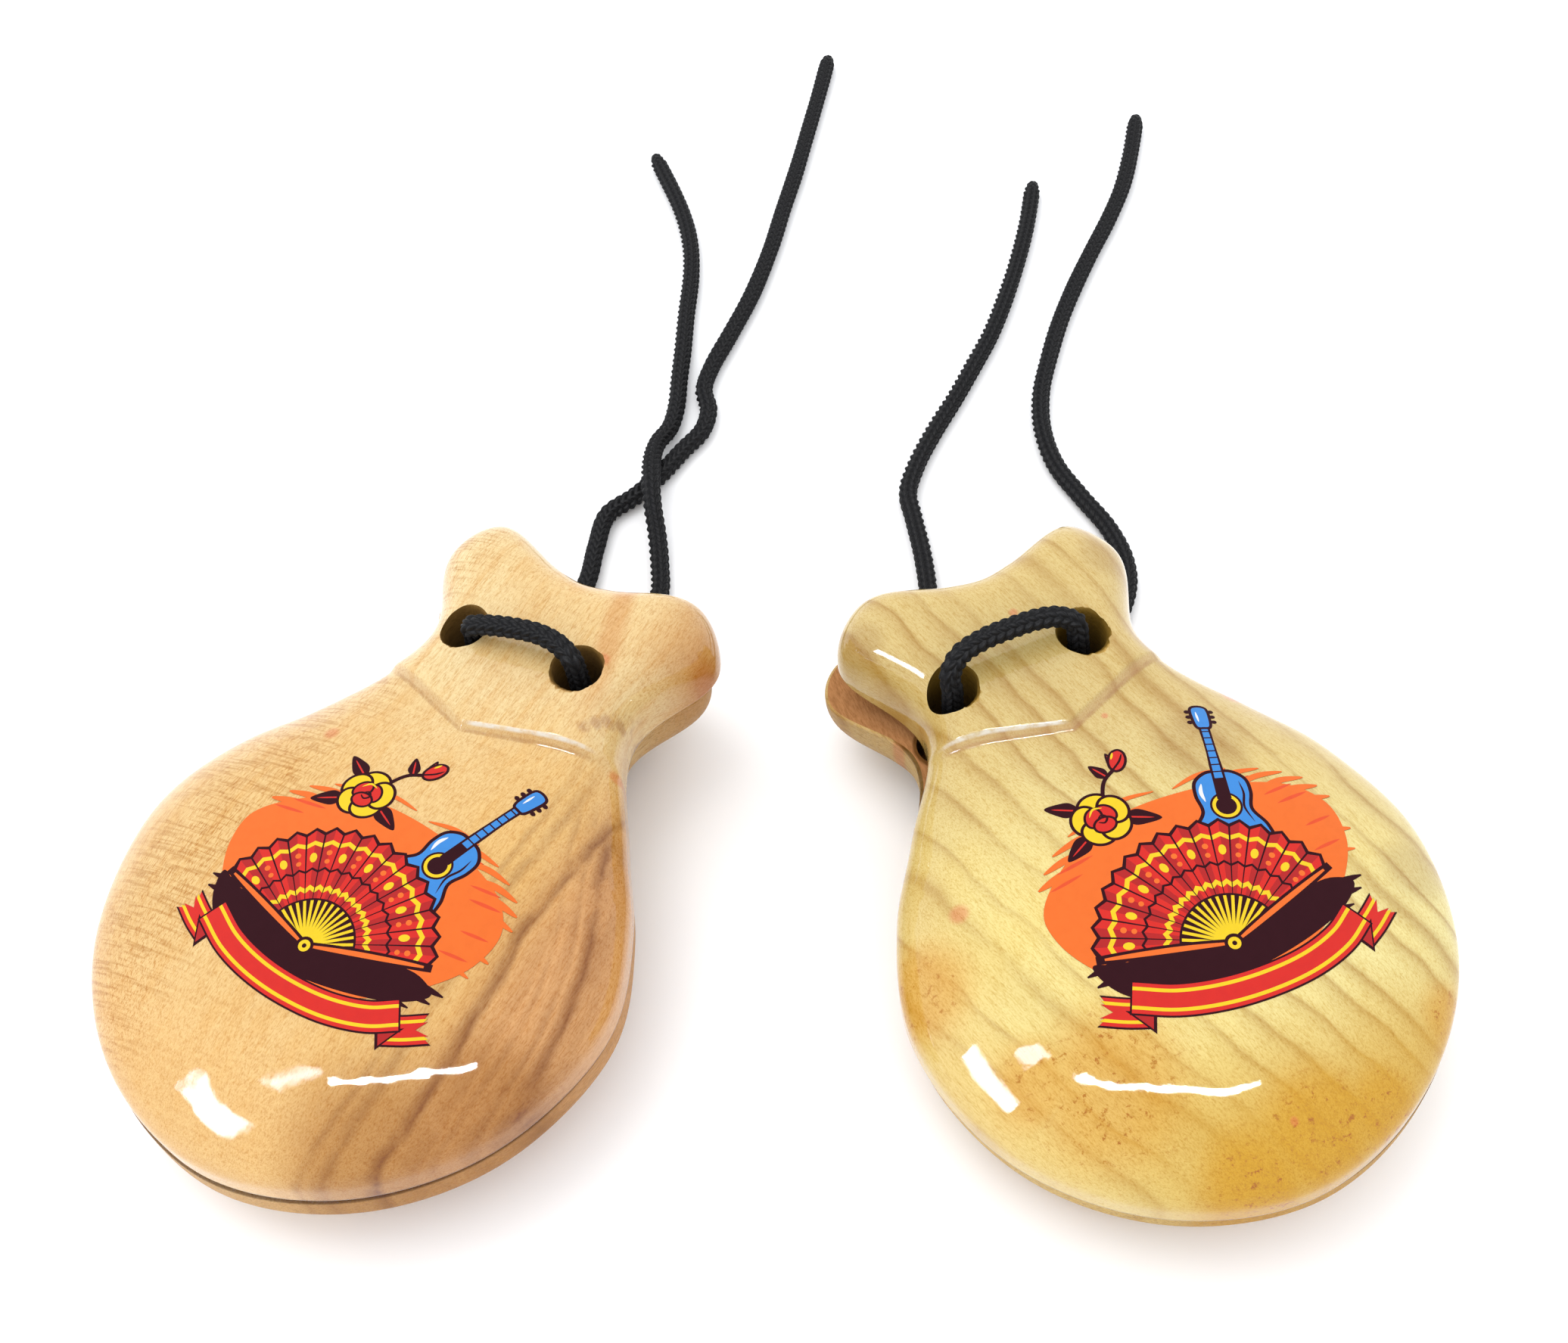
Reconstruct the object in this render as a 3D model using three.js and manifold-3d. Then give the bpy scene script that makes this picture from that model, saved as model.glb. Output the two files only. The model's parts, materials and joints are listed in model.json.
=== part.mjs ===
// A pair of wooden castanets lying on a table, in millimetres, +Z up.
// The origin is the middle of the four shells' box, on the table.
// Each castanet has a frame of its own: its origin is the middle of the bowl in the plane where
// the two shells meet, +y runs to the ears, and the top shell lies above that plane.

import * as THREE from 'three';
import { mergeVertices } from 'three/addons/utils/BufferGeometryUtils.js';
import Module from 'manifold-3d';

const wasm = await Module();
wasm.setup();

// ---------------------------------------------------------------- driving dimensions

const bowlRadius = 31;          // half the width of the bowl at its widest
const crownHeight = 13;         // meeting plane to the crown of a shell's dome
const crownRadius = 105;        // how flat the crown is
const wallHeight = 2.8;         // upright rim of each shell, below its rounding
const ledgeDrop = 1.2;          // the neck plate stands this far above the dome beside it
const topNeck = 11.2;           // thickness of the top shell's neck
const bottomNeck = 10.2;        // the bottom shell's neck is thinner: its cord passes under it
const roundingPower = 2.3;      // how square the shoulder between rim and dome is
const shellGap = 0.3;           // the shells meet with this gap
const hollow = { radius: 21, depth: 7.6, y: -2 };   // resonance hollow in each shell's flat face
const hingeY = 35.6;            // line across the neck on which the top shell rocks
const reliefAngle = 9;          // each shell's flat face falls away behind that line, degrees
const holeRadius = 2.95;        // cord holes through the neck
const ledge = { tipY: 24.6, endX: 11.8, endY: 28.8 };   // V-shaped step at the foot of the neck

// Half of the outline from the bowl's front round to the notch between the ears, and the core
// that it rounds towards. Bowl points are given by angle and radius, the neck's by x and y.
const bowlOutline = [[-60, 31.3], [-30, 31.2], [0, bowlRadius], [25, 30], [45, 30.5]];
const bowlFront = -31.8;
const waist = [14.5, 34.7];
const ear = [[18.55, 47.4], [14.1, 53.25]];
const notch = [[4.6, 50.95], [0, 50.1]];
const coreRadius = 16;
const coreNeck = [[7, 33], [9.6, 44.2], [8.4, 46.2], [4, 44.4], [0, 44]];

const cordRadius = 1.3;
const lieHeight = 1.4;          // the middle of a tail that lies on the table
const bendRadius = 5.4;         // of a tail where it turns out of its hole, over two diameters
const cordGap = 0.45;           // loop and tails end this far above and below the meeting plane
const bendLift = 0.15;          // the end of that bend lies this much higher
const bendSteps = 4;            // straight pieces in a quarter bend of the cord
const cordStep = 5;             // spacing of the tube's sections along a tail

// Each castanet: where it lies, how it is turned and leans, how its bottom shell is shifted and
// swivelled under the top one, its two cord holes, the cord's bridge from hole to hole over the
// neck plate, all in the castanet's frame, and the routes of its cord's two tails over the table
// as x and y of the cord's middle, with z where it doesn't lie on the table.
const castanets = [
  {
    side: 'left', at: [-44.76, -7.92, 12.77], yaw: -30.1, pitch: 2, roll: -2,
    shift: [-1.68, -0.17], swivel: 2.04, holes: [[-8.6, 35.9], [7.3, 36.3]],
    bridge: [[-6.5, 35.3, 12.8], [-4.0, 35.8, 13.7], [-0.8, 36.5, 14.0], [2.6, 36.9, 14.1],
      [5.2, 36.7, 13.7], [7.0, 36.2, 12.5]],
    print: { x: 2.2, y: -0.6, halfWidth: 18.5, halfHeight: 15.5 },
    woods: ['#cda271', '#b98d5e'],
    tails: {
      left: [[-23.6, 51.2], [-22.2, 58.4], [-20.2, 64.6], [-15.6, 69.2],
        [-11.0, 74.2], [-7.2, 80.2], [-6.0, 86.6], [-4.9, 93.4],
        [-2.0, 101.6], [1.4, 110.6], [4.7, 119.8], [7.4, 129.6],
        [9.8, 138.6], [12.2, 148.6], [14.8, 159.6], [17.1, 170.0]],
      right: [[-13.0, 49.6], [-12.2, 54.6, 1.4], [-12.9, 59.6, 2.2], [-14.0, 64.4, 3.6],
        [-14.7, 69.0, 4.2], [-14.9, 73.6, 3.4], [-13.5, 79.0, 2.0], [-11.2, 84.8],
        [-10.0, 92.0], [-9.2, 99.6], [-8.3, 108.8], [-7.7, 117.6],
        [-8.2, 125.6], [-10.0, 134.0], [-13.5, 145.2]],
    },
  },
  {
    side: 'right', at: [44.71, -14.25, 12.77], yaw: 19.1, pitch: 2.5, roll: -4.5,
    shift: [-1.89, 0.25], swivel: 4.02, holes: [[-10.2, 34.9], [6.9, 35.4]],
    bridge: [[-10.1, 35.5, 12.6], [-8.4, 36.5, 14.2], [-5.2, 37.0, 14.8], [-1.6, 37.1, 14.8],
      [1.9, 37.0, 14.6], [4.3, 36.6, 14.1], [6.1, 35.9, 12.8]],
    print: { x: 3.6, y: -0.4, halfWidth: 18.5, halfHeight: 15.5 },
    woods: ['#d6bb7e', '#bb9560'],
    tails: {
      left: [[23.9, 47.2], [23.7, 54.6], [23.0, 61.6], [22.6, 66.2],
        [24.2, 71.4], [27.4, 78.0], [31.1, 84.6], [34.5, 91.2],
        [37.8, 97.8], [40.8, 105.4], [43.5, 113.2], [46.3, 122.8],
        [48.6, 133.0]],
      right: [[50.7, 45.6], [51.4, 51.4], [50.0, 57.6], [47.0, 63.8],
        [44.2, 70.2], [43.2, 77.4], [43.9, 84.6], [46.0, 92.0],
        [48.6, 99.6], [51.8, 107.2], [55.6, 115.2], [59.4, 122.8],
        [62.8, 130.6], [65.4, 138.8], [68.0, 149.0]],
    },
  },
];

const sections = 60;            // vertices round each ring of a shell
const crownShrink = 0.45;       // the last ring of a shell, inside its core
const rounding = [0.03, 0.12, 0.3, 0.6, 1];   // rings from the rim in to the core

// ---------------------------------------------------------------- solids

const rad = THREE.MathUtils.degToRad;

function solid(geometry) {
  const bare = geometry.clone();
  bare.deleteAttribute('normal');
  bare.deleteAttribute('uv');
  const merged = mergeVertices(bare, 1e-4);
  return new wasm.Manifold(new wasm.Mesh({
    numProp: 3,
    vertProperties: new Float32Array(merged.attributes.position.array),
    triVerts: new Uint32Array(merged.index.array),
  }));
}

function geometryOf(manifold) {
  const mesh = manifold.getMesh();
  const geometry = new THREE.BufferGeometry();
  geometry.setAttribute('position', new THREE.BufferAttribute(mesh.vertProperties, 3));
  geometry.setIndex(new THREE.BufferAttribute(mesh.triVerts, 1));
  geometry.computeVertexNormals();
  return geometry;
}

// Joins rings of equal length into a closed skin. The first and last rings are closed across
// by joining each vertex with its mirror image, so the rings must be symmetric about x = 0.
function skinOf(rings) {
  const n = rings[0].length;
  const index = [];
  rings.slice(1).forEach((ring, r) => {
    for (let k = 0; k < n; k++) {
      const a = r * n + k;
      const b = r * n + (k + 1) % n;
      index.push(a, b, b + n, a, b + n, a + n);
    }
  });
  const last = (rings.length - 1) * n;
  for (let k = 0; k < n / 2; k++) {
    const mirror = (n - k) % n;
    const nextMirror = n - k - 1;
    if (k > 0) {
      index.push(k, mirror, k + 1);
      index.push(last + k, last + k + 1, last + mirror);
    }
    if (k + 1 < n / 2) {
      index.push(k + 1, mirror, nextMirror);
      index.push(last + k + 1, last + nextMirror, last + mirror);
    }
  }
  const geometry = new THREE.BufferGeometry();
  geometry.setAttribute('position', new THREE.Float32BufferAttribute(rings.flat(2), 3));
  geometry.setIndex(index);
  return geometry;
}

// ---------------------------------------------------------------- the shells

function polar(degrees, radius) {
  return [radius * Math.cos(rad(degrees)), radius * Math.sin(rad(degrees))];
}

// A closed smooth loop through a half outline and its mirror image, as `sections` points.
function loop(half) {
  const mirrored = half.slice(1, -1).reverse().map(([x, y]) => [-x, y]);
  const points = [...half, ...mirrored].map(([x, y]) => new THREE.Vector3(x, y, 0));
  const curve = new THREE.CatmullRomCurve3(points, true, 'centripetal');
  return Array.from({ length: sections }, (_, k) => curve.getPoint(k / sections));
}

const outline = loop([
  [0, bowlFront], ...bowlOutline.map(([angle, radius]) => polar(angle, radius)),
  waist, ...ear, ...notch,
]);
const core = loop([
  [0, -coreRadius], ...bowlOutline.map(([angle]) => polar(angle, coreRadius)), ...coreNeck,
]);

const smoothstep = THREE.MathUtils.smoothstep;

// Height of the dome over the meeting plane, before its shoulder is rounded off.
function domeHeight(x, y, neck) {
  const bowl = crownHeight - (x * x + y * y) / (2 * crownRadius);
  return THREE.MathUtils.lerp(bowl, neck - ledgeDrop, smoothstep(y, 18, 32));
}

function shoulder(inward) {
  return (1 - (1 - inward) ** roundingPower) ** (1 / roundingPower);
}

// One shell's outside as a closed body on the meeting plane, with any height field on top.
function blank(height) {
  const ring = (inward, z) => outline.map((p, k) => {
    const q = p.clone().lerp(core[k], inward);
    return [q.x, q.y, z ?? wallHeight + (height(q.x, q.y) - wallHeight) * shoulder(inward)];
  });
  const crown = core.map(({ x, y }) => {
    const [cx, cy] = [x * crownShrink, y < 0 ? y * crownShrink : y];
    return [cx, cy, height(cx, cy)];
  });
  return skinOf([ring(0, shellGap / 2), ring(0, wallHeight), ...rounding.map((s) => ring(s)), crown]);
}

// The neck plate: everything on the ears' side of the V, above the rim.
function neckRegion() {
  const { tipY, endX, endY } = ledge;
  const slope = (endY - tipY) / endX;
  const reach = 2 * endX;
  const shape = new THREE.Shape([
    new THREE.Vector2(0, tipY), new THREE.Vector2(reach, tipY + slope * reach),
    new THREE.Vector2(reach, 60), new THREE.Vector2(-reach, 60),
    new THREE.Vector2(-reach, tipY + slope * reach),
  ]);
  const geometry = new THREE.ExtrudeGeometry(shape, { depth: 20, bevelEnabled: false });
  return geometry.translate(0, 0, wallHeight + 0.6);
}

function hollowCutter() {
  const geometry = new THREE.SphereGeometry(hollow.radius, 32, 12);
  geometry.rotateX(Math.PI / 2);
  return geometry.scale(1, 1, hollow.depth / hollow.radius).translate(0, hollow.y, 0);
}

// A wedge that relieves the flat face behind the hinge line, so the ears clear when it rocks.
function reliefCutter() {
  const geometry = new THREE.BoxGeometry(60, 40, 10);
  geometry.translate(0, 20, -5).rotateX(rad(reliefAngle));
  return geometry.translate(0, hingeY, shellGap / 2);
}

function holeCutter([x, y]) {
  const geometry = new THREE.CylinderGeometry(holeRadius, holeRadius, 60, 20);
  return geometry.rotateX(Math.PI / 2).translate(x, y, 0);
}

// A shell with its flat face down, as the top shell lies.
function shellBody(neck) {
  const plate = solid(blank(() => neck)).intersect(solid(neckRegion()));
  return solid(blank((x, y) => domeHeight(x, y, neck)))
    .add(plate)
    .subtract(solid(hollowCutter()))
    .subtract(solid(reliefCutter()));
}

function drilled(body, holes) {
  return holes.reduce((rest, hole) => rest.subtract(solid(holeCutter(hole))), body);
}

// ---------------------------------------------------------------- cord and print

// A tube of the cord's thickness through points of one frame.
function cordTube(points, steps) {
  const curve = new THREE.CatmullRomCurve3(points, false, 'centripetal');
  const sides = 8;
  const corners = Array.from({ length: sides }, (_, k) => {
    const angle = (2 * Math.PI * k) / sides;
    return new THREE.Vector2(cordRadius * Math.cos(angle), cordRadius * Math.sin(angle));
  });
  const section = new THREE.Shape(corners);
  const geometry = new THREE.ExtrudeGeometry(section, { steps, extrudePath: curve });
  return geometryOf(solid(geometry));
}

// The loop: up through one hole of the top shell, over the neck plate, down through the other.
// In each hole it leans from the middle towards the side where the bridge begins.
function loopPoints([left, right], bridge) {
  const leg = ([x, y], next) => [
    new THREE.Vector3(x, y, cordGap),
    new THREE.Vector3(THREE.MathUtils.lerp(x, next[0], 0.3), y, topNeck / 2),
    new THREE.Vector3(THREE.MathUtils.lerp(x, next[0], 0.7), y, topNeck - 0.8),
  ];
  const over = bridge.map((p) => new THREE.Vector3(...p));
  return [...leg(left, bridge[0]), ...over, ...leg(right, bridge.at(-1)).reverse()];
}

// A tail's way down through its hole in the bottom shell, and its bend under the neck towards
// `exit`, the first point of its run on the table. `upper` and `lower` are the hole's two ends.
function descent(upper, lower, exit) {
  const away = new THREE.Vector3(exit.x - lower.x, exit.y - lower.y, 0).normalize();
  const front = lower.clone().addScaledVector(away, -cordRadius);
  const points = [upper.clone()];
  for (let k = 0; k <= bendSteps; k++) {
    const angle = (Math.PI / 2) * (k / bendSteps);
    points.push(front.clone()
      .addScaledVector(away, bendRadius * (1 - Math.cos(angle)))
      .setZ(lieHeight + bendLift + bendRadius * (1 - Math.sin(angle))));
  }
  return points;
}

// A thin film that lies on the dome, a little clear of it.
function printFilm({ x, y, halfWidth, halfHeight }) {
  const rim = 32;
  const steps = [1, 0.7, 0.35];
  const film = 0.15;
  const at = (scale, k, lift) => {
    const angle = (2 * Math.PI * k) / rim;
    const px = x + scale * halfWidth * Math.sin(angle);
    const py = y - scale * halfHeight * Math.cos(angle);
    return [px - x, py - y, domeHeight(px, py, topNeck) + lift];
  };
  const rings = (lift) => steps.map((scale) => Array.from({ length: rim }, (_, k) => at(scale, k, lift)));
  const under = rings(shellGap).reverse();
  const geometry = skinOf([...under, ...rings(shellGap + film)]);
  return geometry.translate(x, y, 0);
}

// ---------------------------------------------------------------- assembly

function finish(color, roughness) {
  return new THREE.MeshStandardMaterial({ color, roughness, metalness: 0 });
}

function piece(name, geometry, material) {
  const mesh = new THREE.Mesh(geometry, material);
  mesh.name = name;
  return mesh;
}

// The slab under the table's surface, seen from a shell: it leaves a small resting flat.
function tableCutter(frame) {
  const geometry = new THREE.BoxGeometry(400, 400, 20).translate(0, 0, -10);
  return geometry.applyMatrix4(frame.clone().invert());
}

function castanet(one) {
  const { side, at, yaw, pitch, roll, shift, swivel, holes, bridge, print, woods, tails } = one;
  const frame = new THREE.Group();
  frame.position.set(...at);
  frame.rotation.set(rad(pitch), rad(roll), rad(yaw), 'ZXY');
  frame.updateMatrixWorld();

  const cord = finish('#161618', 0.85);
  const top = geometryOf(drilled(shellBody(topNeck), holes));
  frame.add(piece(`${side}_top_shell`, top, finish(woods[0], 0.12)));
  frame.add(piece(`${side}_cord_loop`, cordTube(loopPoints(holes, bridge), 40), cord));
  frame.add(piece(`${side}_print`, printFilm(print), finish('#e8793a', 0.15)));

  // The bottom shell is the same body turned over, then swivelled about the neck.
  const under = new THREE.Group();
  const pivot = new THREE.Vector3(0, hingeY, 0);
  under.rotation.z = rad(swivel);
  under.position.copy(pivot).sub(pivot.clone().applyEuler(under.rotation));
  under.position.x += shift[0];
  under.position.y += shift[1];
  frame.add(under);
  under.updateMatrixWorld();
  const turned = geometryOf(shellBody(bottomNeck)).rotateY(Math.PI);
  const bottom = drilled(solid(turned), holes).subtract(solid(tableCutter(under.matrixWorld)));
  under.add(piece(`${side}_bottom_shell`, geometryOf(bottom), finish(woods[1], 0.3)));

  const parts = [frame];
  Object.entries(tails).forEach(([end, route], k) => {
    const open = route.map(([x, y, z = lieHeight]) => new THREE.Vector3(x, y, z));
    const [upper, lower] = [-cordGap, -bottomNeck].map((z) => (
      new THREE.Vector3(...holes[k], z).applyMatrix4(under.matrixWorld)));
    const points = [...descent(upper, lower, open[0]), ...open];
    const length = new THREE.CatmullRomCurve3(points, false, 'centripetal').getLength();
    const tail = cordTube(points, Math.round(length / cordStep) + 12);
    parts.push(piece(`${side}_cord_tail_${end}`, tail, cord));
  });
  return parts;
}

const group = new THREE.Group();
castanets.forEach((one) => group.add(...castanet(one)));

export default group;
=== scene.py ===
import json
import math

import bmesh
import bpy
import numpy as np
from mathutils import Matrix, Vector, noise
from mathutils.bvhtree import BVHTree
from mathutils.geometry import delaunay_2d_cdt

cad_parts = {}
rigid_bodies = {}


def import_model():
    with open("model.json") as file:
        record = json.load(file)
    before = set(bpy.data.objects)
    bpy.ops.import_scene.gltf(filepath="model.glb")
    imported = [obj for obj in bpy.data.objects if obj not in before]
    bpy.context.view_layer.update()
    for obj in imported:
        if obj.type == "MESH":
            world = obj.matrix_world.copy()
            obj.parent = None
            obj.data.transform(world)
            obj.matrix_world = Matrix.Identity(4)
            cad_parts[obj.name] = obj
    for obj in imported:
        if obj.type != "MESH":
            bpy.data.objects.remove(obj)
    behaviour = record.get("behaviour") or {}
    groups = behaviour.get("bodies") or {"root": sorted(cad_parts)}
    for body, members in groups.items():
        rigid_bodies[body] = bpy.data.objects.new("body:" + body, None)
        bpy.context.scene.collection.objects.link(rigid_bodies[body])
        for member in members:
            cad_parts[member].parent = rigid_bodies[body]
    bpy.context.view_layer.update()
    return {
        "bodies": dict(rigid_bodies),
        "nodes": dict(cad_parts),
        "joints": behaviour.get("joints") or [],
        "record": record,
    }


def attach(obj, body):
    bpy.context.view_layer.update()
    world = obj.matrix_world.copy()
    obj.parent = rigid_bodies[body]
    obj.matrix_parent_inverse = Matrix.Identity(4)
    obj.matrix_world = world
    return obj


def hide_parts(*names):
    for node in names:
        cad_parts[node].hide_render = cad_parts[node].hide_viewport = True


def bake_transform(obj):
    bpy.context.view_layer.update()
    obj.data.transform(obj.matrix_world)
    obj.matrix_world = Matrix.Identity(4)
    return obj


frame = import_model()

# A pair of lacquered wooden castanets on a pale table.
# Each castanet has a frame of its own: its origin is in the middle of the bowl where its shells
# meet, and +y runs to the ears. Lengths are in mm, or in metres where MM is in their value.
MM = 0.001


def added(name, data):
    """A new object of the scene."""
    piece = bpy.data.objects.new(name, data)
    bpy.context.scene.collection.objects.link(piece)
    return piece


# -------- camera

CAMERA_TARGET = Vector((3.59, 36.53, 0.0)) * MM
CAMERA_DISTANCE = 253.1 * MM
CAMERA_ELEVATION = math.radians(53)
CAMERA_ROLL = math.radians(-3)
SENSOR_WIDTH = 36.0
LENS = 43.39
CLIP_NEAR, CLIP_FAR = 10 * MM, 20000 * MM


def make_camera():
    data = bpy.data.cameras.new("camera")
    data.sensor_width, data.lens = SENSOR_WIDTH, LENS
    data.clip_start, data.clip_end = CLIP_NEAR, CLIP_FAR
    camera = added("camera", data)
    forward = Vector((0, math.cos(CAMERA_ELEVATION), -math.sin(CAMERA_ELEVATION)))
    turn = Matrix.Rotation(CAMERA_ROLL, 3, forward)
    right = turn.transposed() @ Vector((1, 0, 0))
    axes = Matrix((right, right.cross(forward), -forward)).transposed()
    place = CAMERA_TARGET - forward * CAMERA_DISTANCE
    camera.matrix_world = Matrix.Translation(place) @ axes.to_4x4()
    bpy.context.scene.camera = camera


make_camera()

# -------- measures of a castanet

BOWL_OUTLINE = [(-60, 31.3), (-30, 31.2), (0, 31), (25, 30), (45, 30.5)]   # angle, radius
BOWL_FRONT = -31.8
NECK_OUTLINE = [(14.5, 34.7), (18.55, 47.4), (14.1, 53.25), (4.6, 50.95), (0, 50.1)]
CORE_RADIUS = 16              # the crown's outline, inside which no shoulder rounds it off
CORE_NECK = [(7, 33), (9.6, 44.2), (8.4, 46.2), (4, 44.4), (0, 44)]
CROWN_HEIGHT, CROWN_RADIUS = 13, 105
PLATE_START, PLATE_END = 18, 32      # where the bowl's height becomes the neck plate's, in y
WALL_HEIGHT = 2.8
LEDGE_DROP = 1.2
TOP_NECK, BOTTOM_NECK = 11.2, 10.2   # thickness
ROUNDING_POWER = 2.3          # of the shoulder's curve
SHELL_GAP = 0.3
HOLLOW_RADIUS, HOLLOW_DEPTH, HOLLOW_Y = 21, 7.6, -2
HINGE_Y = 35.6
RELIEF = math.tan(math.radians(9))   # of the flat face behind the hinge line
HOLE_RADIUS = 2.95
CORD_RADIUS = 1.3
CORD_GAP = 0.45               # from a tail's upper end to the plane where the shells meet
LIE_HEIGHT = 1.4              # of a cord's middle over the table

# Each castanet: its place and its turns, its bottom shell's shift and swivel, holes, the V-shaped
# ledge's tip and slopes, how its print is placed, its outline's unevenness as (x, y, radius, dx,
# dy), the cord's bridge over the neck, and its tails' routes over the table in the part's frame
# (at LIE_HEIGHT where no height is given).
CASTANETS = {
    "left": dict(
        at=(-44.76, -7.92, 12.77), yaw=-30.1, pitch=2, roll=-2,
        shift=(-1.68, -0.17), swivel=2.04, holes=[(-8.6, 35.9), (7.3, 36.3)],
        ledge=dict(x=-0.9, y=24.2, left=0.36, right=0.26),
        print=dict(at=(0, 0), turn=0, scale=1),
        swell=[(-15, 50.5, 6, -0.9, 1.2), (-18, 44, 5, -0.8, 0), (18.5, 46, 7, 1.0, -0.1),
               (-29, 6, 14, -1.1, 0.5), (31, 2, 10, 0.4, 0)],
        bridge=[(-6.5, 35.3, 12.8), (-4.0, 35.8, 13.7), (-0.8, 36.5, 14.0), (2.6, 36.9, 14.1),
                (5.2, 36.7, 13.7), (7.0, 36.2, 12.5)],
        tails=dict(
            left=[(-23.3, 51.8), (-21.9, 58.8), (-20.3, 65.0), (-16.3, 68.4), (-12.8, 72.2),
                  (-9.4, 76.9), (-6.6, 80.6), (-5.6, 84.8), (-6.2, 89.0), (-5.1, 93.4),
                  (-1.9, 100.9), (1.6, 109.4), (4.9, 119.8), (7.4, 129.6), (9.8, 138.6),
                  (12.2, 148.6), (14.8, 159.6), (17.1, 170.0)],
            right=[(-13.0, 49.6), (-12.9, 54.8, 1.4), (-13.2, 60.0, 2.4), (-13.7, 64.2, 3.7),
                   (-13.9, 68.4, 4.3), (-13.8, 73.4, 3.6), (-13.1, 77.6, 2.4), (-11.4, 81.2, 1.6),
                   (-10.4, 85.6), (-9.9, 91.5), (-9.3, 97.6), (-8.7, 105.4), (-7.8, 115.1),
                   (-7.9, 122.6), (-9.2, 130.6), (-13.5, 145.2)])),
    "right": dict(
        at=(44.71, -14.25, 12.77), yaw=19.1, pitch=2.5, roll=-4.5,
        shift=(-1.89, 0.25), swivel=4.02, holes=[(-10.2, 34.9), (6.9, 35.4)],
        ledge=dict(x=0.2, y=25.0, left=0.30, right=0.43),
        print=dict(at=(2.2, 1.0), turn=1.5, scale=1.02),
        swell=[(-17.5, 47, 6.5, -1.3, 0.3), (25, 20, 10, 0.5, 0.4), (-16, 30, 6, 0.5, 0),
               (16, 49, 5, -0.4, -0.2)],
        bridge=[(-10.1, 35.5, 12.6), (-8.4, 36.5, 14.2), (-5.2, 37.0, 14.8), (-1.6, 37.1, 14.8),
                (1.9, 37.0, 14.6), (4.3, 36.6, 14.1), (6.1, 35.9, 12.8)],
        tails=dict(
            left=[(23.9, 47.2), (23.7, 54.6), (23.0, 61.6), (22.6, 66.2), (24.2, 71.4),
                  (27.4, 78.0), (31.1, 84.6), (34.5, 91.2), (37.8, 97.8), (40.8, 105.4),
                  (43.5, 113.2), (46.3, 122.8), (48.6, 133.0)],
            right=[(50.7, 45.6), (51.4, 51.4), (50.0, 57.6), (47.0, 63.8), (44.2, 70.2),
                   (43.2, 77.4), (43.9, 84.6), (46.0, 92.0), (48.6, 99.6), (51.8, 107.2),
                   (55.6, 115.2), (59.4, 122.8), (62.8, 130.6), (65.4, 138.8), (68.0, 149.0)])),
}


def rotation(degrees, axis):
    return Matrix.Rotation(math.radians(degrees), 4, axis)


def castanet_frame(one):
    turn = rotation(one["yaw"], "Z") @ rotation(one["pitch"], "X") @ rotation(one["roll"], "Y")
    return Matrix.Translation(Vector(one["at"]) * MM) @ turn


def under_frame(one):
    """Where the bottom shell lies in the castanet's frame: shifted and swivelled at the neck."""
    pivot = Matrix.Translation((0, HINGE_Y, 0))
    swivel = pivot @ rotation(one["swivel"], "Z") @ pivot.inverted()
    return Matrix.Translation((*one["shift"], 0)) @ swivel


def moved(matrix, points):
    """The points after the matrix, as an array."""
    m = np.array(matrix)
    return np.asarray(points, float) @ m[:3, :3].T + m[:3, 3]


def polar(degrees, radius):
    return radius * math.cos(math.radians(degrees)), radius * math.sin(math.radians(degrees))


# -------- curves and tubes

def unit(vectors):
    return vectors / np.linalg.norm(vectors, axis=-1, keepdims=True)


def catmull_rom(points, closed, steps):
    """A centripetal Catmull-Rom curve, as `steps` straight pieces between two points."""
    p = np.asarray(points, float)
    if closed:
        around = np.vstack([p[-1:], p, p[:2]])
    else:
        around = np.vstack([2 * p[0] - p[1], p, 2 * p[-1] - p[-2]])
    t = np.arange(steps)[:, None] / steps
    line = []
    for a, b, c, d in zip(around, around[1:], around[2:], around[3:]):
        before, here, after = (math.sqrt(np.linalg.norm(q)) for q in (b - a, c - b, d - c))
        out = ((b - a) / before - (c - a) / (before + here) + (c - b) / here) * here
        into = ((c - b) / here - (d - b) / (here + after) + (d - c) / after) * here
        line.append(b + out * t + (3 * (c - b) - 2 * out - into) * t**2
                    + (2 * (b - c) + out + into) * t**3)
    if not closed:
        line.append(p[-1:])
    return np.vstack(line)


def distances(line):
    """How far along the line each of its points lies."""
    return np.concatenate([[0], np.cumsum(np.linalg.norm(np.diff(line, axis=0), axis=1))])


def spaced(line, step):
    """The line again with points about a step apart."""
    along = distances(line)
    at = np.linspace(0, along[-1], max(2, math.ceil(along[-1] / step) + 1))
    return np.stack([np.interp(at, along, line[:, k]) for k in range(line.shape[1])], axis=1)


def tube_faces(rings, n):
    """Quads between rings of n points that follow one another."""
    k = np.arange(n)
    faces = []
    for r in range(rings - 1):
        a, b = r * n + k, r * n + (k + 1) % n
        faces += np.stack([a, b, b + n, a + n], axis=1).tolist()
    return faces


def mesh_object(name, verts, faces):
    mesh = bpy.data.meshes.new(name)
    mesh.from_pydata(np.asarray(verts, float).tolist(), [], faces)
    mesh.update()
    mesh.shade_smooth()
    return added(name, mesh)


# -------- knitted cord, in metres

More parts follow.
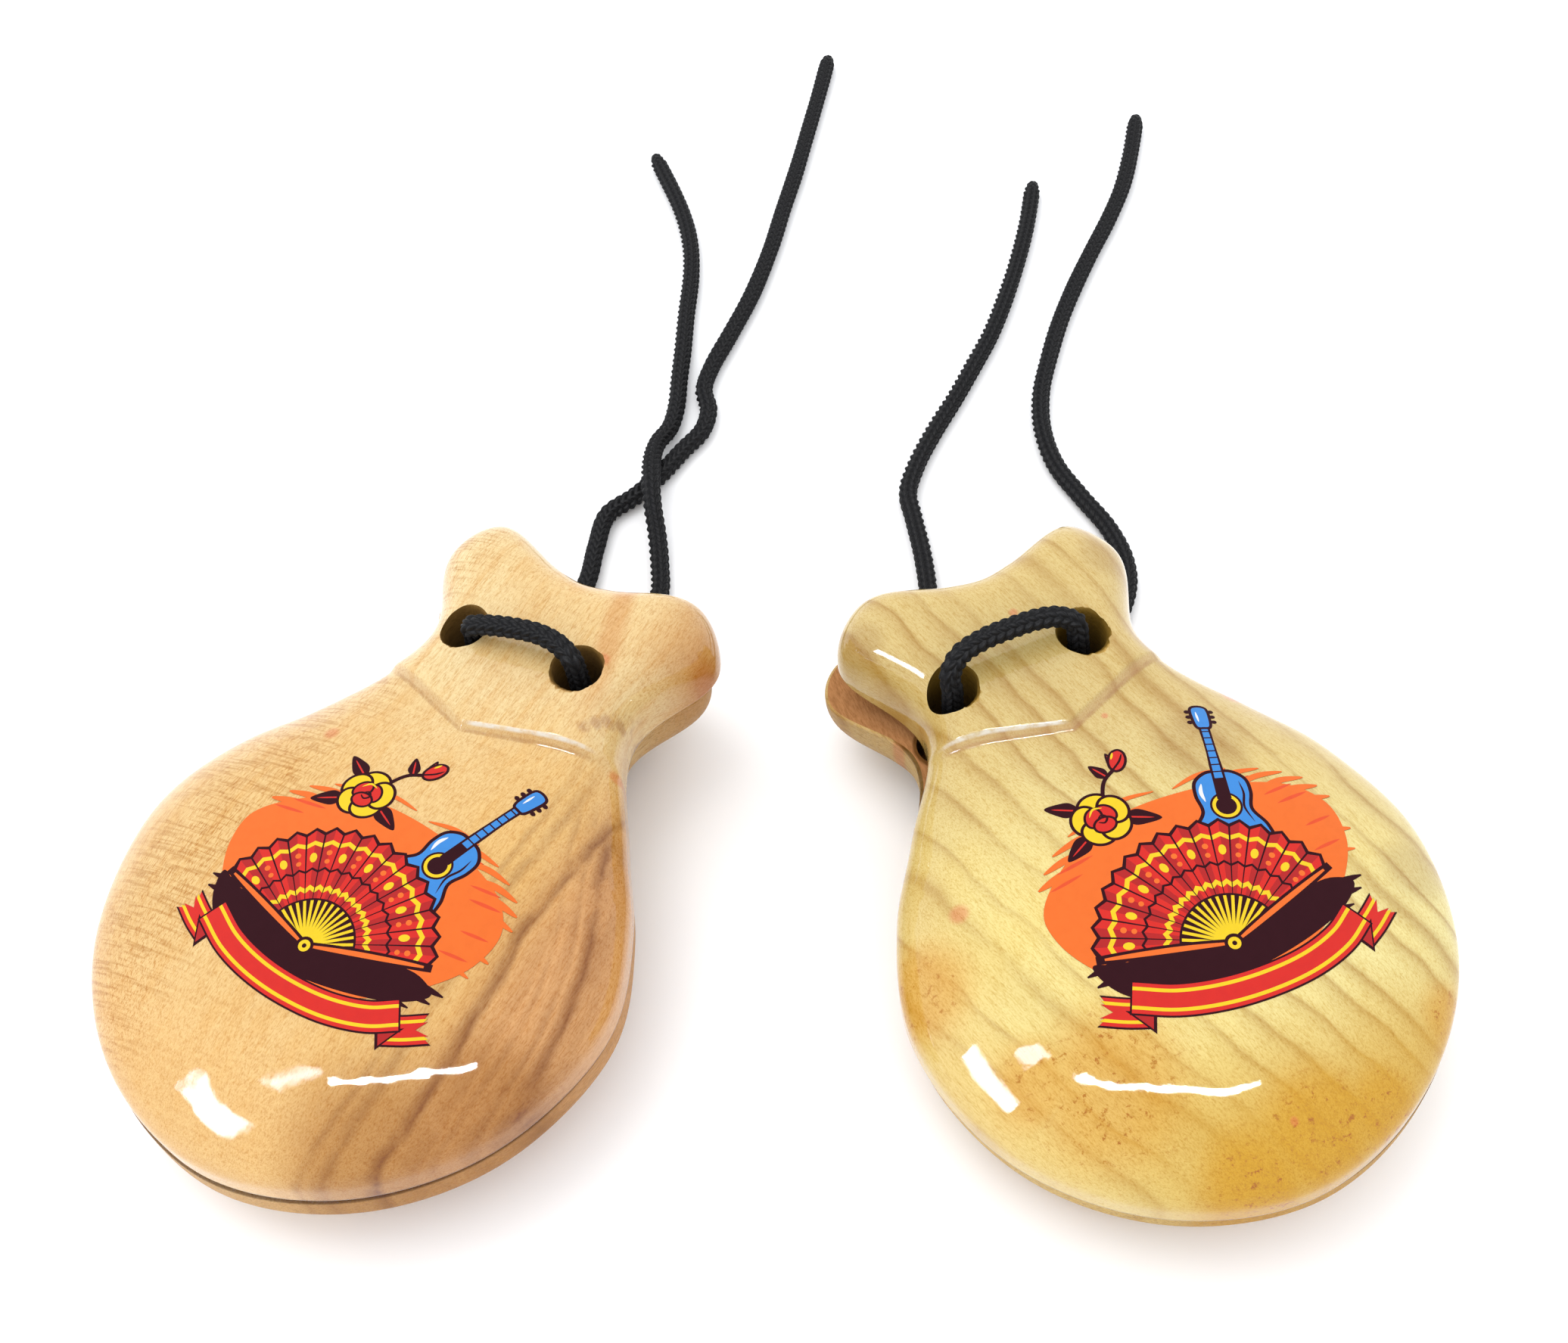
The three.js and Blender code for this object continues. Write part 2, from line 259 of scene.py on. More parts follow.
KNIT_COLUMNS = 4
KNIT_SIDES = 56
KNIT_SLANT = 0.72             # of a stitch's leg, in stitches
KNIT_PITCH = 1.2 * MM         # one stitch
KNIT_STEP = 0.17 * MM         # rings along the cord
KNIT_CORE = 0.89 * MM         # radius under the stitches
KNIT_BUMP = 0.49 * MM
KNIT_WANDER = 0.025 * MM      # unevenness of its radius, and how it comes and goes
WANDER_LENGTHS = 3.1 * MM, 7.7 * MM
TIP_LENGTH = 2.4 * MM         # heat-sealed end
TIP_CORE = 0.92               # of its radius under the stitches
TIP_KNIT = 0.15               # of its stitches
SEALED_ROUND, CUT_ROUND = 0.8 * MM, 0.5 * MM     # how long its round end is
SEALED_LEAST, CUT_LEAST = 0.02, 0.3              # and how wide it starts, squared
BEND_RADIUS = 5.4 * MM        # where a tail comes out under the neck
BEND_END = 1.55 * MM          # its height there
BEND_STEPS = 4
CURVE_STEPS = 24
# A loop's leg in its hole: how far over towards the bridge's end, and height.
LEG = [(0, -CORD_GAP + 0.15), (0.1, 2), (0.3, TOP_NECK / 2), (0.7, TOP_NECK - 0.8)]


def knit_height(angle, along):
    """How far stitches stand out, from 0 to 1: columns of V's, each leg a rounded yarn."""
    column = angle * KNIT_COLUMNS / (2 * math.pi)
    across = np.abs(2 * (column - np.floor(column)) - 1)
    phase = along / KNIT_PITCH - KNIT_SLANT * across + 0.5 * (np.floor(column) % 2)
    leg = np.abs(np.cos(math.pi * phase)) ** 0.8
    valley = np.sqrt(np.clip(1 - 0.9 * (2 * across - 1) ** 2, 0, 1))
    return leg * valley


def ring_axes(line):
    """Two directions square to the line at each point, without twist along it."""
    ahead = unit(np.gradient(line, axis=0))
    side = np.cross(ahead[0], (0, 0, 1) if abs(ahead[0][2]) < 0.9 else (1, 0, 0))
    sides = []
    for t in ahead:
        side = side - t * (side @ t)
        side = side / np.linalg.norm(side)
        sides.append(side)
    return np.array(sides), np.cross(ahead, sides)


def round_end(into, length, least):
    """How a round end's radius grows over its length."""
    return np.sqrt(np.clip(1 - (1 - np.clip(into / length, 0, 1)) ** 2, least, 1))


def knitted(name, line, sealed_end):
    """A knitted cord on the line, and its points. Its last end may be heat-sealed to a taper."""
    line = spaced(line, KNIT_STEP)
    rings = len(line)
    along = np.arange(rings) * KNIT_STEP
    core, knit = (size * round_end(along, CUT_ROUND, CUT_LEAST) for size in (KNIT_CORE, KNIT_BUMP))
    back = along[::-1]
    if sealed_end:
        melt = np.clip(back / TIP_LENGTH, 0, 1)
        close = round_end(back, SEALED_ROUND, SEALED_LEAST)
        core = np.minimum(core, KNIT_CORE * (TIP_CORE + (1 - TIP_CORE) * melt)) * close
        knit = knit * (TIP_KNIT + (1 - TIP_KNIT) * melt**1.5) * close
    else:
        core, knit = (size * round_end(back, CUT_ROUND, CUT_LEAST) for size in (core, knit))
    side, up = ring_axes(line)
    angle = 2 * math.pi * np.arange(KNIT_SIDES) / KNIT_SIDES
    wander = KNIT_WANDER * np.prod([np.sin(along / length) for length in WANDER_LENGTHS], axis=0)
    radius = (core + wander)[:, None] + knit[:, None] * knit_height(angle, along[:, None])
    points = (line[:, None] + radius[..., None] * (np.cos(angle)[:, None] * side[:, None]
              + np.sin(angle)[:, None] * up[:, None]))
    first = rings * KNIT_SIDES
    top = first - KNIT_SIDES
    verts = np.vstack([points.reshape(-1, 3), line[:1], line[-1:]])
    faces = tube_faces(rings, KNIT_SIDES)
    faces += [[first, (j + 1) % KNIT_SIDES, j] for j in range(KNIT_SIDES)]
    faces += [[first + 1, top + j, top + (j + 1) % KNIT_SIDES] for j in range(KNIT_SIDES)]
    return mesh_object(name, verts, faces), line


def descent(upper, lower, first):
    """A tail's way down through its hole in the bottom shell, and its bend under the neck."""
    away = Vector((first[0] - lower.x, first[1] - lower.y, 0)).normalized()
    front = lower - away * CORD_RADIUS * MM
    points = [tuple(upper)]
    for k in range(BEND_STEPS + 1):
        angle = math.pi / 2 * k / BEND_STEPS
        point = front + away * BEND_RADIUS * (1 - math.cos(angle))
        points.append((point.x, point.y, BEND_END + BEND_RADIUS * (1 - math.sin(angle))))
    return points


def make_tail(side, end, one):
    under = castanet_frame(one) @ Matrix.Scale(MM, 4) @ under_frame(one)
    hole = one["holes"][0 if end == "left" else 1]
    upper, lower = (under @ Vector((*hole, z)) for z in (-CORD_GAP, -BOTTOM_NECK))
    route = [tuple(c * MM for c in (*p, LIE_HEIGHT)[:3]) for p in one["tails"][end]]
    line = catmull_rom(descent(upper, lower, route[0]) + route, False, CURVE_STEPS)
    name = f"{side}_cord_tail_{end}"
    piece, path = knitted(name + "_knit", line, True)
    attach(piece, f"{side}_bottom")
    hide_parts(name)
    return piece


def make_loop(side, one):
    """The cord over the neck plate, with its legs in the top shell's two holes."""
    def leg(hole, over):
        return [(hole[0] + share * (over[0] - hole[0]), hole[1], z) for share, z in LEG]

    left, right = one["holes"]
    over = one["bridge"]
    points = leg(left, over[0]) + over + leg(right, over[-1])[::-1]
    placed = castanet_frame(one) @ Matrix.Scale(MM, 4)
    line = moved(placed, catmull_rom(points, False, CURVE_STEPS))
    piece, _ = knitted(f"{side}_cord_loop_knit", line, False)
    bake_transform(piece)
    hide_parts(f"{side}_cord_loop")
    return piece


cords = []
for side, one in CASTANETS.items():
    cords += [make_tail(side, end, one) for end in ("left", "right")]
    cords.append(make_loop(side, one))

# -------- shells

SPAN_STEPS = 20               # points of the outline between two of its given points
SMOOTHING = 9                 # points of the outline averaged into one
EDGE_STEPS, WALL_STEPS, SHOULDER_STEPS = 4, 5, 40    # rings of a shell's side
SHOULDER_CROWDING = 1.7       # of the rings towards the wall
COLUMNS, UNDER_COLUMNS = 90, 16                      # quads across the crown and the flat face
CROWN_SAG, UNDER_SAG = 36, 38                        # the y from which their rows of quads sag
EDGE_RADIUS = 0.45            # of the rim where the wall meets the flat face
EDGE_WALL = 0.35              # least height of the wall above it
WAVE, LEDGE_WAVE = 0.07, 0.12        # hand-finished surface and ledge, up and down
LARGE_LUMPS, SMALL_LUMPS, LEDGE_LUMPS = 11.0, 4.5, 4.0    # and how wide its lumps are
LEDGE_WIDTH = 0.9             # of its steep face
LEDGE_REACH, LEDGE_HALF = 3, 24      # faces near enough to be cut
LEDGE_CUTS = (-1.3, -1.1, -0.97, -0.88, -0.8, -0.7, -0.58, -0.4, -0.22, -0.12, -0.04, 0.05,
              0.15, 0.3)
HOLLOW_TURNS = (-60, -30, -12, 0, 6, 12, 20, 30, 42, 55, 68, 80)
HOLLOW_SIDES, HOLE_SIDES = 120, 96
HOLE_START = -2.0
HOLE_UNEVEN = 0.035           # of its radius
# A hole's mouth: height from the neck's outside, how open its chips are, how far it is eased.
MOUTH = [(-1.1, 0, 0), (-0.55, 0.25, 0.02), (-0.25, 0.6, 0.07), (-0.1, 0.85, 0.16),
         (0.05, 1.05, 0.3), (2, 1.2, 0.5)]
# Chips of each top hole's mouth: direction and width in degrees, depth.
HOLE_CHIPS = {
    "left": [[(200, 60, 0.8), (265, 40, 0.35)], [(285, 75, 0.75), (20, 50, 0.45)]],
    "right": [[(265, 70, 0.75), (160, 40, 0.4)], [(300, 70, 0.7), (350, 30, 0.9), (60, 40, 0.3)]],
}
SHARP_EDGE = math.radians(38)
# What a shell's vertices keep: how far in towards the core they are, the wall's height by them,
# and whether they belong to the top, whose height is worked out last.
LAYERS = ("inward", "wall", "top")


def closed_loop(half):
    """A smooth outline through the points of its right half and their mirror images."""
    mirrored = [(-x, y) for x, y in half[-2:0:-1]]
    line = catmull_rom(half + mirrored, True, SPAN_STEPS)
    kernel = np.hanning(SMOOTHING + 2)[1:-1]
    kernel /= kernel.sum()
    padded = np.vstack([line[-SMOOTHING:], line, line[:SMOOTHING]])
    smooth = np.stack([np.convolve(padded[:, k], kernel, "same") for k in (0, 1)], axis=1)
    return smooth[SMOOTHING:-SMOOTHING]


OUTLINE = closed_loop([(0, BOWL_FRONT)] + [polar(a, r) for a, r in BOWL_OUTLINE] + NECK_OUTLINE)
CORE = closed_loop([(0, -CORE_RADIUS)] + [polar(a, CORE_RADIUS) for a, _ in BOWL_OUTLINE]
                   + CORE_NECK)


def dome_height(x, y, neck):
    bowl = CROWN_HEIGHT - (x * x + y * y) / (2 * CROWN_RADIUS)
    t = np.clip((y - PLATE_START) / (PLATE_END - PLATE_START), 0, 1)
    rise = t * t * (3 - 2 * t)
    return bowl * (1 - rise) + (neck - LEDGE_DROP) * rise


def shoulder(inward):
    return (1 - (1 - np.clip(inward, 0, 1)) ** ROUNDING_POWER) ** (1 / ROUNDING_POWER)


def flat_face(y):
    """Height of a shell's flat face: it falls away behind the hinge line."""
    return SHELL_GAP / 2 + RELIEF * np.maximum(0, y - HINGE_Y)


def ledge_distance(x, y, ledge):
    """Distance from the V-shaped ledge, positive on the ears' side."""
    slope = np.where(x < ledge["x"], -ledge["left"], ledge["right"])
    return (y - ledge["y"] - slope * (x - ledge["x"])) / np.sqrt(1 + slope**2)


def ledge_step(distance):
    """From 0 on the bowl's side to 1 on the neck plate: a slope with eased edges."""
    t = 1 + distance / LEDGE_WIDTH
    low, high = 0.3, 0.2
    return (np.sqrt(t * t + low**2) - np.sqrt((t - 1) ** 2 + high**2) + 1) / 2


def wavering(x, y, z, size, seed):
    """Smooth noise at the points, from -1 to 1, with lumps of that size."""
    shift = Vector((seed * 7.3, seed * 3.1, seed))
    return np.array([noise.noise(Vector(p) / size + shift) for p in np.stack([x, y, z], axis=1)])


def rungs(ring, start, columns, sag_start):
    """Points across a closed ring from each vertex to its mirror image. Rungs near the ears sag
    in the middle, so that they don't cross the notch."""
    n = len(ring)
    half = n // 2
    y = ring[:half + 1, 1]
    first = int(np.argmax(y > sag_start))
    middle = y.copy()
    span = np.arange(half + 1 - first) / (half - first)
    middle[first:] = y[first] + (y[half] - y[first]) * span ** 1.15
    u = np.linspace(1, -1, columns + 1)[1:-1]
    points = [np.stack([ring[k, 0] * u, middle[k] + (y[k] - middle[k]) * u**2], axis=1)
              for k in range(1, half)]
    rows = [[start + k] + [None] * (columns - 1) + [start + n - k] for k in range(1, half)]
    return np.vstack(points), rows


def ladder_faces(rows, start, half, base, columns):
    """Quads between the rungs, and a fan at each end. base is the first inner point's index."""
    for r, row in enumerate(rows):
        row[1:-1] = range(base + r * (columns - 1), base + (r + 1) * (columns - 1))
    faces = []
    for low, high in zip(rows, rows[1:]):
        faces += [[low[c], high[c], high[c + 1], low[c + 1]] for c in range(columns)]
    faces += [[start, rows[0][c], rows[0][c + 1]] for c in range(columns)]
    faces += [[start + half, rows[-1][c + 1], rows[-1][c]] for c in range(columns)]
    return faces


def side_rings():
    """A shell's side from its rim to the crown, as (how far in towards the core, height) at
    each point of the outline, and the wall's height there. Heights above it are nan as yet."""
    inset_length = np.linalg.norm(CORE - OUTLINE, axis=1)
    flat = flat_face(OUTLINE[:, 1])
    low = flat + EDGE_RADIUS
    wall = np.maximum(WALL_HEIGHT, low + EDGE_WALL)
    rings = []
    for k in range(EDGE_STEPS + 1):
        turn = math.pi / 2 * k / EDGE_STEPS
        rings.append((EDGE_RADIUS * (1 - math.sin(turn)) / inset_length,
                      flat + EDGE_RADIUS * (1 - math.cos(turn))))
    for k in range(1, WALL_STEPS + 1):
        rings.append((0 * flat, low + (wall - low) * k / WALL_STEPS))
    for k in range(1, SHOULDER_STEPS + 1):
        rings.append((0 * flat + (k / SHOULDER_STEPS) ** SHOULDER_CROWDING, flat * np.nan))
    return rings, wall


def shell_mesh(neck, ledge, seed):
    """A shell without hollow or holes, flat face down, as a bmesh."""
    n, half = len(OUTLINE), len(OUTLINE) // 2
    rings, wall = side_rings()
    side = np.vstack([OUTLINE + (CORE - OUTLINE) * inward[:, None] for inward, _ in rings])
    top_start = (len(rings) - 1) * n
    crown, crown_rows = rungs(CORE, top_start, COLUMNS, CROWN_SAG)
    under, under_rows = rungs(side[:n], 0, UNDER_COLUMNS, UNDER_SAG)
    faces = tube_faces(len(rings), n)
    faces += ladder_faces(crown_rows, top_start, half, len(side), COLUMNS)
    below = ladder_faces(under_rows, 0, half, len(side) + len(crown), UNDER_COLUMNS)

    xy = np.vstack([side, crown, under])
    inward = np.concatenate([s for s, _ in rings]
                            + [np.ones(len(crown)), np.full(len(under), -1.0)])
    z = np.concatenate([z for _, z in rings]
                       + [np.full(len(crown), np.nan), flat_face(under[:, 1])])
    walls = np.concatenate([np.tile(wall, len(rings)),
                            np.full(len(crown) + len(under), WALL_HEIGHT)])

    mesh = bmesh.new()
    layers = [mesh.verts.layers.float.new(name) for name in LAYERS]
    for place, height, *values in zip(xy, z, inward, walls, np.isnan(z)):
        vert = mesh.verts.new((*place, 0 if np.isnan(height) else height))
        for layer, value in zip(layers, values):
            vert[layer] = float(value)
    mesh.verts.ensure_lookup_table()
    for number, face in enumerate(faces + below):
        made = mesh.faces.new([mesh.verts[i] for i in face])
        made.material_index = int(number >= len(faces))
    cut_ledge(mesh, ledge, layers[2])
    raise_top(mesh, layers, neck, ledge, seed)
    bmesh.ops.recalc_face_normals(mesh, faces=mesh.faces)
    return mesh


def cut_ledge(mesh, ledge, is_top):
    """Cuts edges into the top along the ledge's tip line and beside both of its arms."""
    def near(face):
        c = face.calc_center_median()
        away = abs(float(ledge_distance(c.x, c.y, ledge)))
        return (away < LEDGE_REACH and abs(c.x) < LEDGE_HALF
                and all(v[is_top] > 0.999 for v in face.verts))

    def cut(faces, point, normal):
        geometry = {e for f in faces for e in (*f.verts, *f.edges)} | set(faces)
        bmesh.ops.bisect_plane(mesh, geom=list(geometry), dist=1e-4, plane_co=point,
                               plane_no=normal)

    tip = Vector((ledge["x"], ledge["y"], 0))
    cut([f for f in mesh.faces if near(f)], tip, Vector((1, 0, 0)))
    for sign, slope in ((-1, -ledge["left"]), (1, ledge["right"])):
        normal = Vector((-slope, 1, 0)).normalized()
        for offset in LEDGE_CUTS:
            side = [f for f in mesh.faces if near(f)
                    and sign * (f.calc_center_median().x - tip.x) > 0]
            cut(side, tip + normal * offset, normal)


def raise_top(mesh, layers, neck, ledge, seed):
    """Gives the top its height: dome, shoulder, ledge and neck plate, a little uneven."""
    top = [v for v in mesh.verts if v[layers[2]] > 0.999]
    x, y = np.array([v.co[:2] for v in top]).T
    inward, wall = (np.array([v[layer] for v in top]) for layer in layers[:2])
    uneven = LEDGE_WAVE * wavering(x, y, y * 0, LEDGE_LUMPS, seed + 2)
    step = ledge_step(ledge_distance(x, y, ledge) + uneven)
    height = dome_height(x, y, neck) * (1 - step) + neck * step
    z = wall + (height - wall) * shoulder(inward)
    wave = wavering(x, y, z, LARGE_LUMPS, seed)
    wave += 0.45 * wavering(x, y, z, SMALL_LUMPS, seed + 1)
    for v, height in zip(top, z + WAVE * wave * np.clip(inward * 6, 0, 1)):
        v.co.z = height


def add_cutter(mesh, centre, levels):
    """Adds a closed cutter of rings about an upright line, each as (z, its radii all round)."""
    rings = []
    for z, radii in levels:
        corners = [polar(360 * k / len(radii), radius) for k, radius in enumerate(radii)]
        rings.append([mesh.verts.new((centre[0] + x, centre[1] + y, z)) for x, y in corners])
    for low, high in zip(rings, rings[1:]):
        for k in range(len(low)):
            j = (k + 1) % len(low)
            mesh.faces.new((low[k], low[j], high[j], high[k]))
    mesh.faces.new(rings[0][::-1])
    mesh.faces.new(rings[-1])


def hollow_levels():
    """The resonance hollow: half an ellipsoid above the meeting plane and a little below it."""
    turns = [math.radians(a) for a in HOLLOW_TURNS]
    return [(HOLLOW_DEPTH * math.sin(a), [HOLLOW_RADIUS * math.cos(a)] * HOLLOW_SIDES)
            for a in turns]


def hole_levels(neck, seed, chips):
    """A drilled hole with an eased mouth, which is chipped where chips says."""
    levels = []
    for z, opening, ease in [(HOLE_START, 0, 0)] + [(neck + z, *more) for z, *more in MOUTH]:
        radii = []
        for k in range(HOLE_SIDES):
            degrees = 360 * k / HOLE_SIDES
            spot = Vector((*polar(degrees, 1), seed))
            radius = HOLE_RADIUS * (1 + HOLE_UNEVEN * noise.noise(spot * 1.7)) + ease
            for towards, width, depth in chips:
                off = abs((degrees - towards + 180) % 360 - 180) / width
                ragged = 0.75 + 0.6 * noise.noise(spot * 9 + Vector((0, 0, z * 0.4)))
                radius += depth * opening * max(0, 1 - off**2) * ragged
            radii.append(radius)
        levels.append((z, radii))
    return levels


def cut_away(piece, cutters):
    """Takes the cutters out of the piece. Cut faces get the second material, raw wood."""
    bmesh.ops.recalc_face_normals(cutters, faces=cutters.faces)
    for face in cutters.faces:
        face.material_index = 1
        face.smooth = True
    joined = bpy.data.meshes.new("cutter")
    cutters.to_mesh(joined)
    cutters.free()
    for material in piece.data.materials:
        joined.materials.append(material)
    tool = added("cutter", joined)
    tool.matrix_world = piece.matrix_world
    cut = piece.modifiers.new("cut", "BOOLEAN")
    cut.operation, cut.solver, cut.object = "DIFFERENCE", "EXACT", tool
    cut.material_mode = "INDEX"
    bpy.context.view_layer.update()
    result = bpy.data.meshes.new_from_object(piece.evaluated_get(
        bpy.context.evaluated_depsgraph_get()))
    piece.modifiers.clear()
    old = piece.data
    piece.data = result
    bpy.data.meshes.remove(old)
    bpy.data.objects.remove(tool)
    bpy.data.meshes.remove(joined)


def swell_out(mesh, places):
    """Hand-shaped unevenness of the outline."""
    for v in mesh.verts:
        x, y = v.co.x / MM, v.co.y / MM
        for at_x, at_y, radius, dx, dy in places:
            near = math.exp(-((x - at_x) ** 2 + (y - at_y) ** 2) / radius**2)
            v.co.x += dx * near * MM
            v.co.y += dy * near * MM


def flatten_foot(mesh, placed):
    """Presses the crown flat where it would reach below the table."""
    back = placed.inverted()
    up = (back.to_3x3() @ Vector((0, 0, 1))).normalized()
    bmesh.ops.bisect_plane(mesh, geom=[*mesh.verts, *mesh.edges, *mesh.faces], dist=1e-7,
                           plane_co=back.translation, plane_no=up)
    for v in mesh.verts:
        depth = (v.co - back.translation).dot(up)
        if depth < 0:
            v.co -= up * depth


def make_shell(side, level, one, materials):
    top = level == "top"
    neck = TOP_NECK if top else BOTTOM_NECK
    seed = {"left": 1, "right": 5}[side] + (0 if top else 20)
    mesh = shell_mesh(neck, one["ledge"], seed)
    cutters = bmesh.new()
    add_cutter(cutters, (0, HOLLOW_Y), hollow_levels())
    for number, (x, y) in enumerate(one["holes"]):
        chips = HOLE_CHIPS[side][number] if top else []
        add_cutter(cutters, (x if top else -x, y), hole_levels(neck, seed + number, chips))
    place = Matrix.Identity(4) if top else under_frame(one) @ rotation(180, "Y")
    for part in (mesh, cutters):
        part.transform(Matrix.Scale(MM, 4) @ place)
    swell_out(mesh, one["swell"])
    if not top:
        flatten_foot(mesh, castanet_frame(one))
    name = f"{side}_{level}_shell"
    data = bpy.data.meshes.new(name + "_turned")
    mesh.to_mesh(data)
    mesh.free()
    data.shade_smooth()
    for layer in LAYERS:
        data.attributes.remove(data.attributes[layer])
    piece = added(name + "_turned", data)
    for material in materials:
        data.materials.append(material)
    piece.matrix_world = castanet_frame(one)
    bpy.context.view_layer.update()
    cut_away(piece, cutters)
    piece.data.set_sharp_from_angle(angle=SHARP_EDGE)
    piece.data.transform(piece.matrix_world)
    piece.matrix_world = Matrix.Identity(4)
    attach(piece, f"{side}_{level}")
    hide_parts(name)
    return piece


# -------- materials

LIGHT_GAIN = 0.70             # a surface's own colour, of how light it looks in this scene
LACQUER_HAZE = 0.045          # the white room, mirrored all over by the lacquer


def srgb(red, green, blue):
    """A colour given as 0-255 sRGB, as linear values."""
    scaled = (red / 255, green / 255, blue / 255)
    return tuple(c / 12.92 if c <= 0.04045 else ((c + 0.055) / 1.055) ** 2.4 for c in scaled)


def scaled_tone(tone, factor):
    return tuple(c * factor for c in tone)


class Paint:
    """Builds one material's nodes. Textures read the coordinates of the given frame, in mm, and
    every tint goes over the colour so far."""

    def __init__(self, name, frame=Matrix.Identity(4)):
        self.material = bpy.data.materials.new(name)
        self.material.use_nodes = True
        self.tree = self.material.node_tree
        self.tree.nodes.clear()
        self.shader = self.node("BsdfPrincipled")
        self.node("OutputMaterial", self.shader.outputs[0])
        scale = (1 / MM,) * 3
        into = self.node("Mapping", self.vector("MULTIPLY", self.node("TexCoord").outputs["Object"],
                                                scale))
        into.vector_type = "TEXTURE"
        into.inputs["Location"].default_value = frame.translation / MM
        into.inputs["Rotation"].default_value = frame.to_euler("XYZ")
        self.place = into.outputs[0]
        self.x, self.y, self.z = self.node("SeparateXYZ", self.place).outputs
        self.flat = self.node("CombineXYZ", self.x, self.y, 0.0).outputs[0]
        self.colour = None

    def put(self, socket, value):
        if isinstance(value, bpy.types.NodeSocket):
            self.tree.links.new(value, socket)
        elif value is not None:
            socket.default_value = value

    def node(self, kind, *values):
        """A new node with these values, or other nodes' outputs, on its first sockets."""
        node = self.tree.nodes.new("ShaderNode" + kind)
        for socket, value in zip(node.inputs, values):
            self.put(socket, value)
        return node

    def math(self, operation, a, b=None, clamp=False):
        node = self.node("Math", a, b)
        node.operation, node.use_clamp = operation, clamp
        return node.outputs[0]

    def times(self, first, *others):
        for other in others:
            first = self.math("MULTIPLY", first, other)
        return first

    def plus(self, a, b):
        return self.math("ADD", a, b)

    def minus(self, a, b):
        return self.math("SUBTRACT", a, b)

    def larger(self, a, b):
        return self.math("MAXIMUM", a, b)

    def size(self, value):
        return self.math("ABSOLUTE", value)

    def vector(self, operation, a, b):
        node = self.node("VectorMath", a, b)
        node.operation = operation
        return node.outputs["Value" if operation == "DISTANCE" else "Vector"]

    def noise(self, vector, scale, detail=3.0, roughness=0.55, stretch=(1, 1, 1)):
        node = self.node("TexNoise", self.vector("MULTIPLY", vector, stretch))
        for name, value in (("Scale", scale), ("Detail", detail), ("Roughness", roughness)):
            node.inputs[name].default_value = value
        return node.outputs["Fac"]

    def ranged(self, value, low, high, out_low=0.0, out_high=1.0):
        """An eased step of value from low to high."""
        node = self.node("MapRange", value, low, high, out_low, out_high)
        node.interpolation_type = "SMOOTHSTEP"
        return node.outputs[0]

    def share(self, value, low, high):
        """Where value lies from low to high, from 0 to 1."""
        return self.math("DIVIDE", self.minus(value, low), high - low, clamp=True)

    def ramp(self, value, stops):
        """Colours between stops, as (position, sRGB colour or grey level)."""
        node = self.node("ValToRGB", value)
        marks = node.color_ramp.elements
        while len(marks) < len(stops):
            marks.new(0.5)
        for mark, (position, colour) in zip(marks, stops):
            mark.position = position
            mark.color = (*srgb(*colour), 1) if isinstance(colour, tuple) else (*[colour] * 3, 1)
        return node.outputs[0]

    def curve(self, value, points, low, high):
        """A smooth function of value through the points, as (value, result)."""
        bottom, top = (f(r for _, r in points) for f in (min, max))
        node = self.node("FloatCurve")
        self.put(node.inputs["Value"], self.share(value, low, high))
        line = node.mapping.curves[0]
        scaled = [((v - low) / (high - low), (r - bottom) / (top - bottom)) for v, r in points]
        while len(line.points) < len(scaled):
            line.points.new(0.5, 0.5)
        for point, place in zip(line.points, sorted(scaled)):
            point.location = place
        node.mapping.update()
        return self.plus(self.times(node.outputs[0], top - bottom), bottom)

    def mix(self, factor, a, b, blend="MIX"):
        node = self.node("Mix")
        node.data_type, node.blend_type = "RGBA", blend
        self.put(node.inputs["Factor"], factor)
        for socket, colour in zip(node.inputs[6:8], (a, b)):
            self.put(socket, (*colour, 1) if isinstance(colour, tuple) else colour)
        return node.outputs[2]

    def stain(self, mask, strength, tone):
        """Mixes a linear tone into the colour where mask is 1, by strength."""
        self.colour = self.mix(self.times(mask, strength), self.colour, tone)

    def tint(self, mask, strength, target):
        """The same with an sRGB colour."""
        self.stain(mask, strength, srgb(*target))

    def darken(self, mask, strength, factor):
        """Multiplies the colour by factor where mask is 1, by strength."""
        self.colour = self.mix(self.times(mask, strength), self.colour, factor, "MULTIPLY")

    def bump(self, height, distance, strength, normal=None):
        node = self.node("Bump")
        for name, value in (("Strength", strength), ("Distance", distance), ("Height", height),
                            ("Normal", normal)):
            self.put(node.inputs[name], value)
        return node.outputs[0]

    def spots(self, places):
        """Soft discs at (x, y, radius) of the castanet's frame, as one mask."""
        total = 0.0
        for x, y, radius in places:
            away = self.vector("DISTANCE", self.flat, (x, y, 0))
            total = self.larger(total, self.ranged(away, radius * 1.25, radius * 0.45))
        return total

    def line_at(self, value, place, half, strength):
        """A soft line where value is near place."""
        return self.ranged(self.size(self.minus(value, place)), half, half * 0.2, 0, strength)

    def ledge_away(self, ledge):
        """Distance from the V-shaped ledge, positive on the ears' side."""
        left = self.larger(self.minus(ledge["x"], self.x), 0.0)
        right = self.larger(self.minus(self.x, ledge["x"]), 0.0)
        rise = self.plus(self.times(left, ledge["left"]), self.times(right, ledge["right"]))
        return self.minus(self.minus(self.y, ledge["y"]), rise)

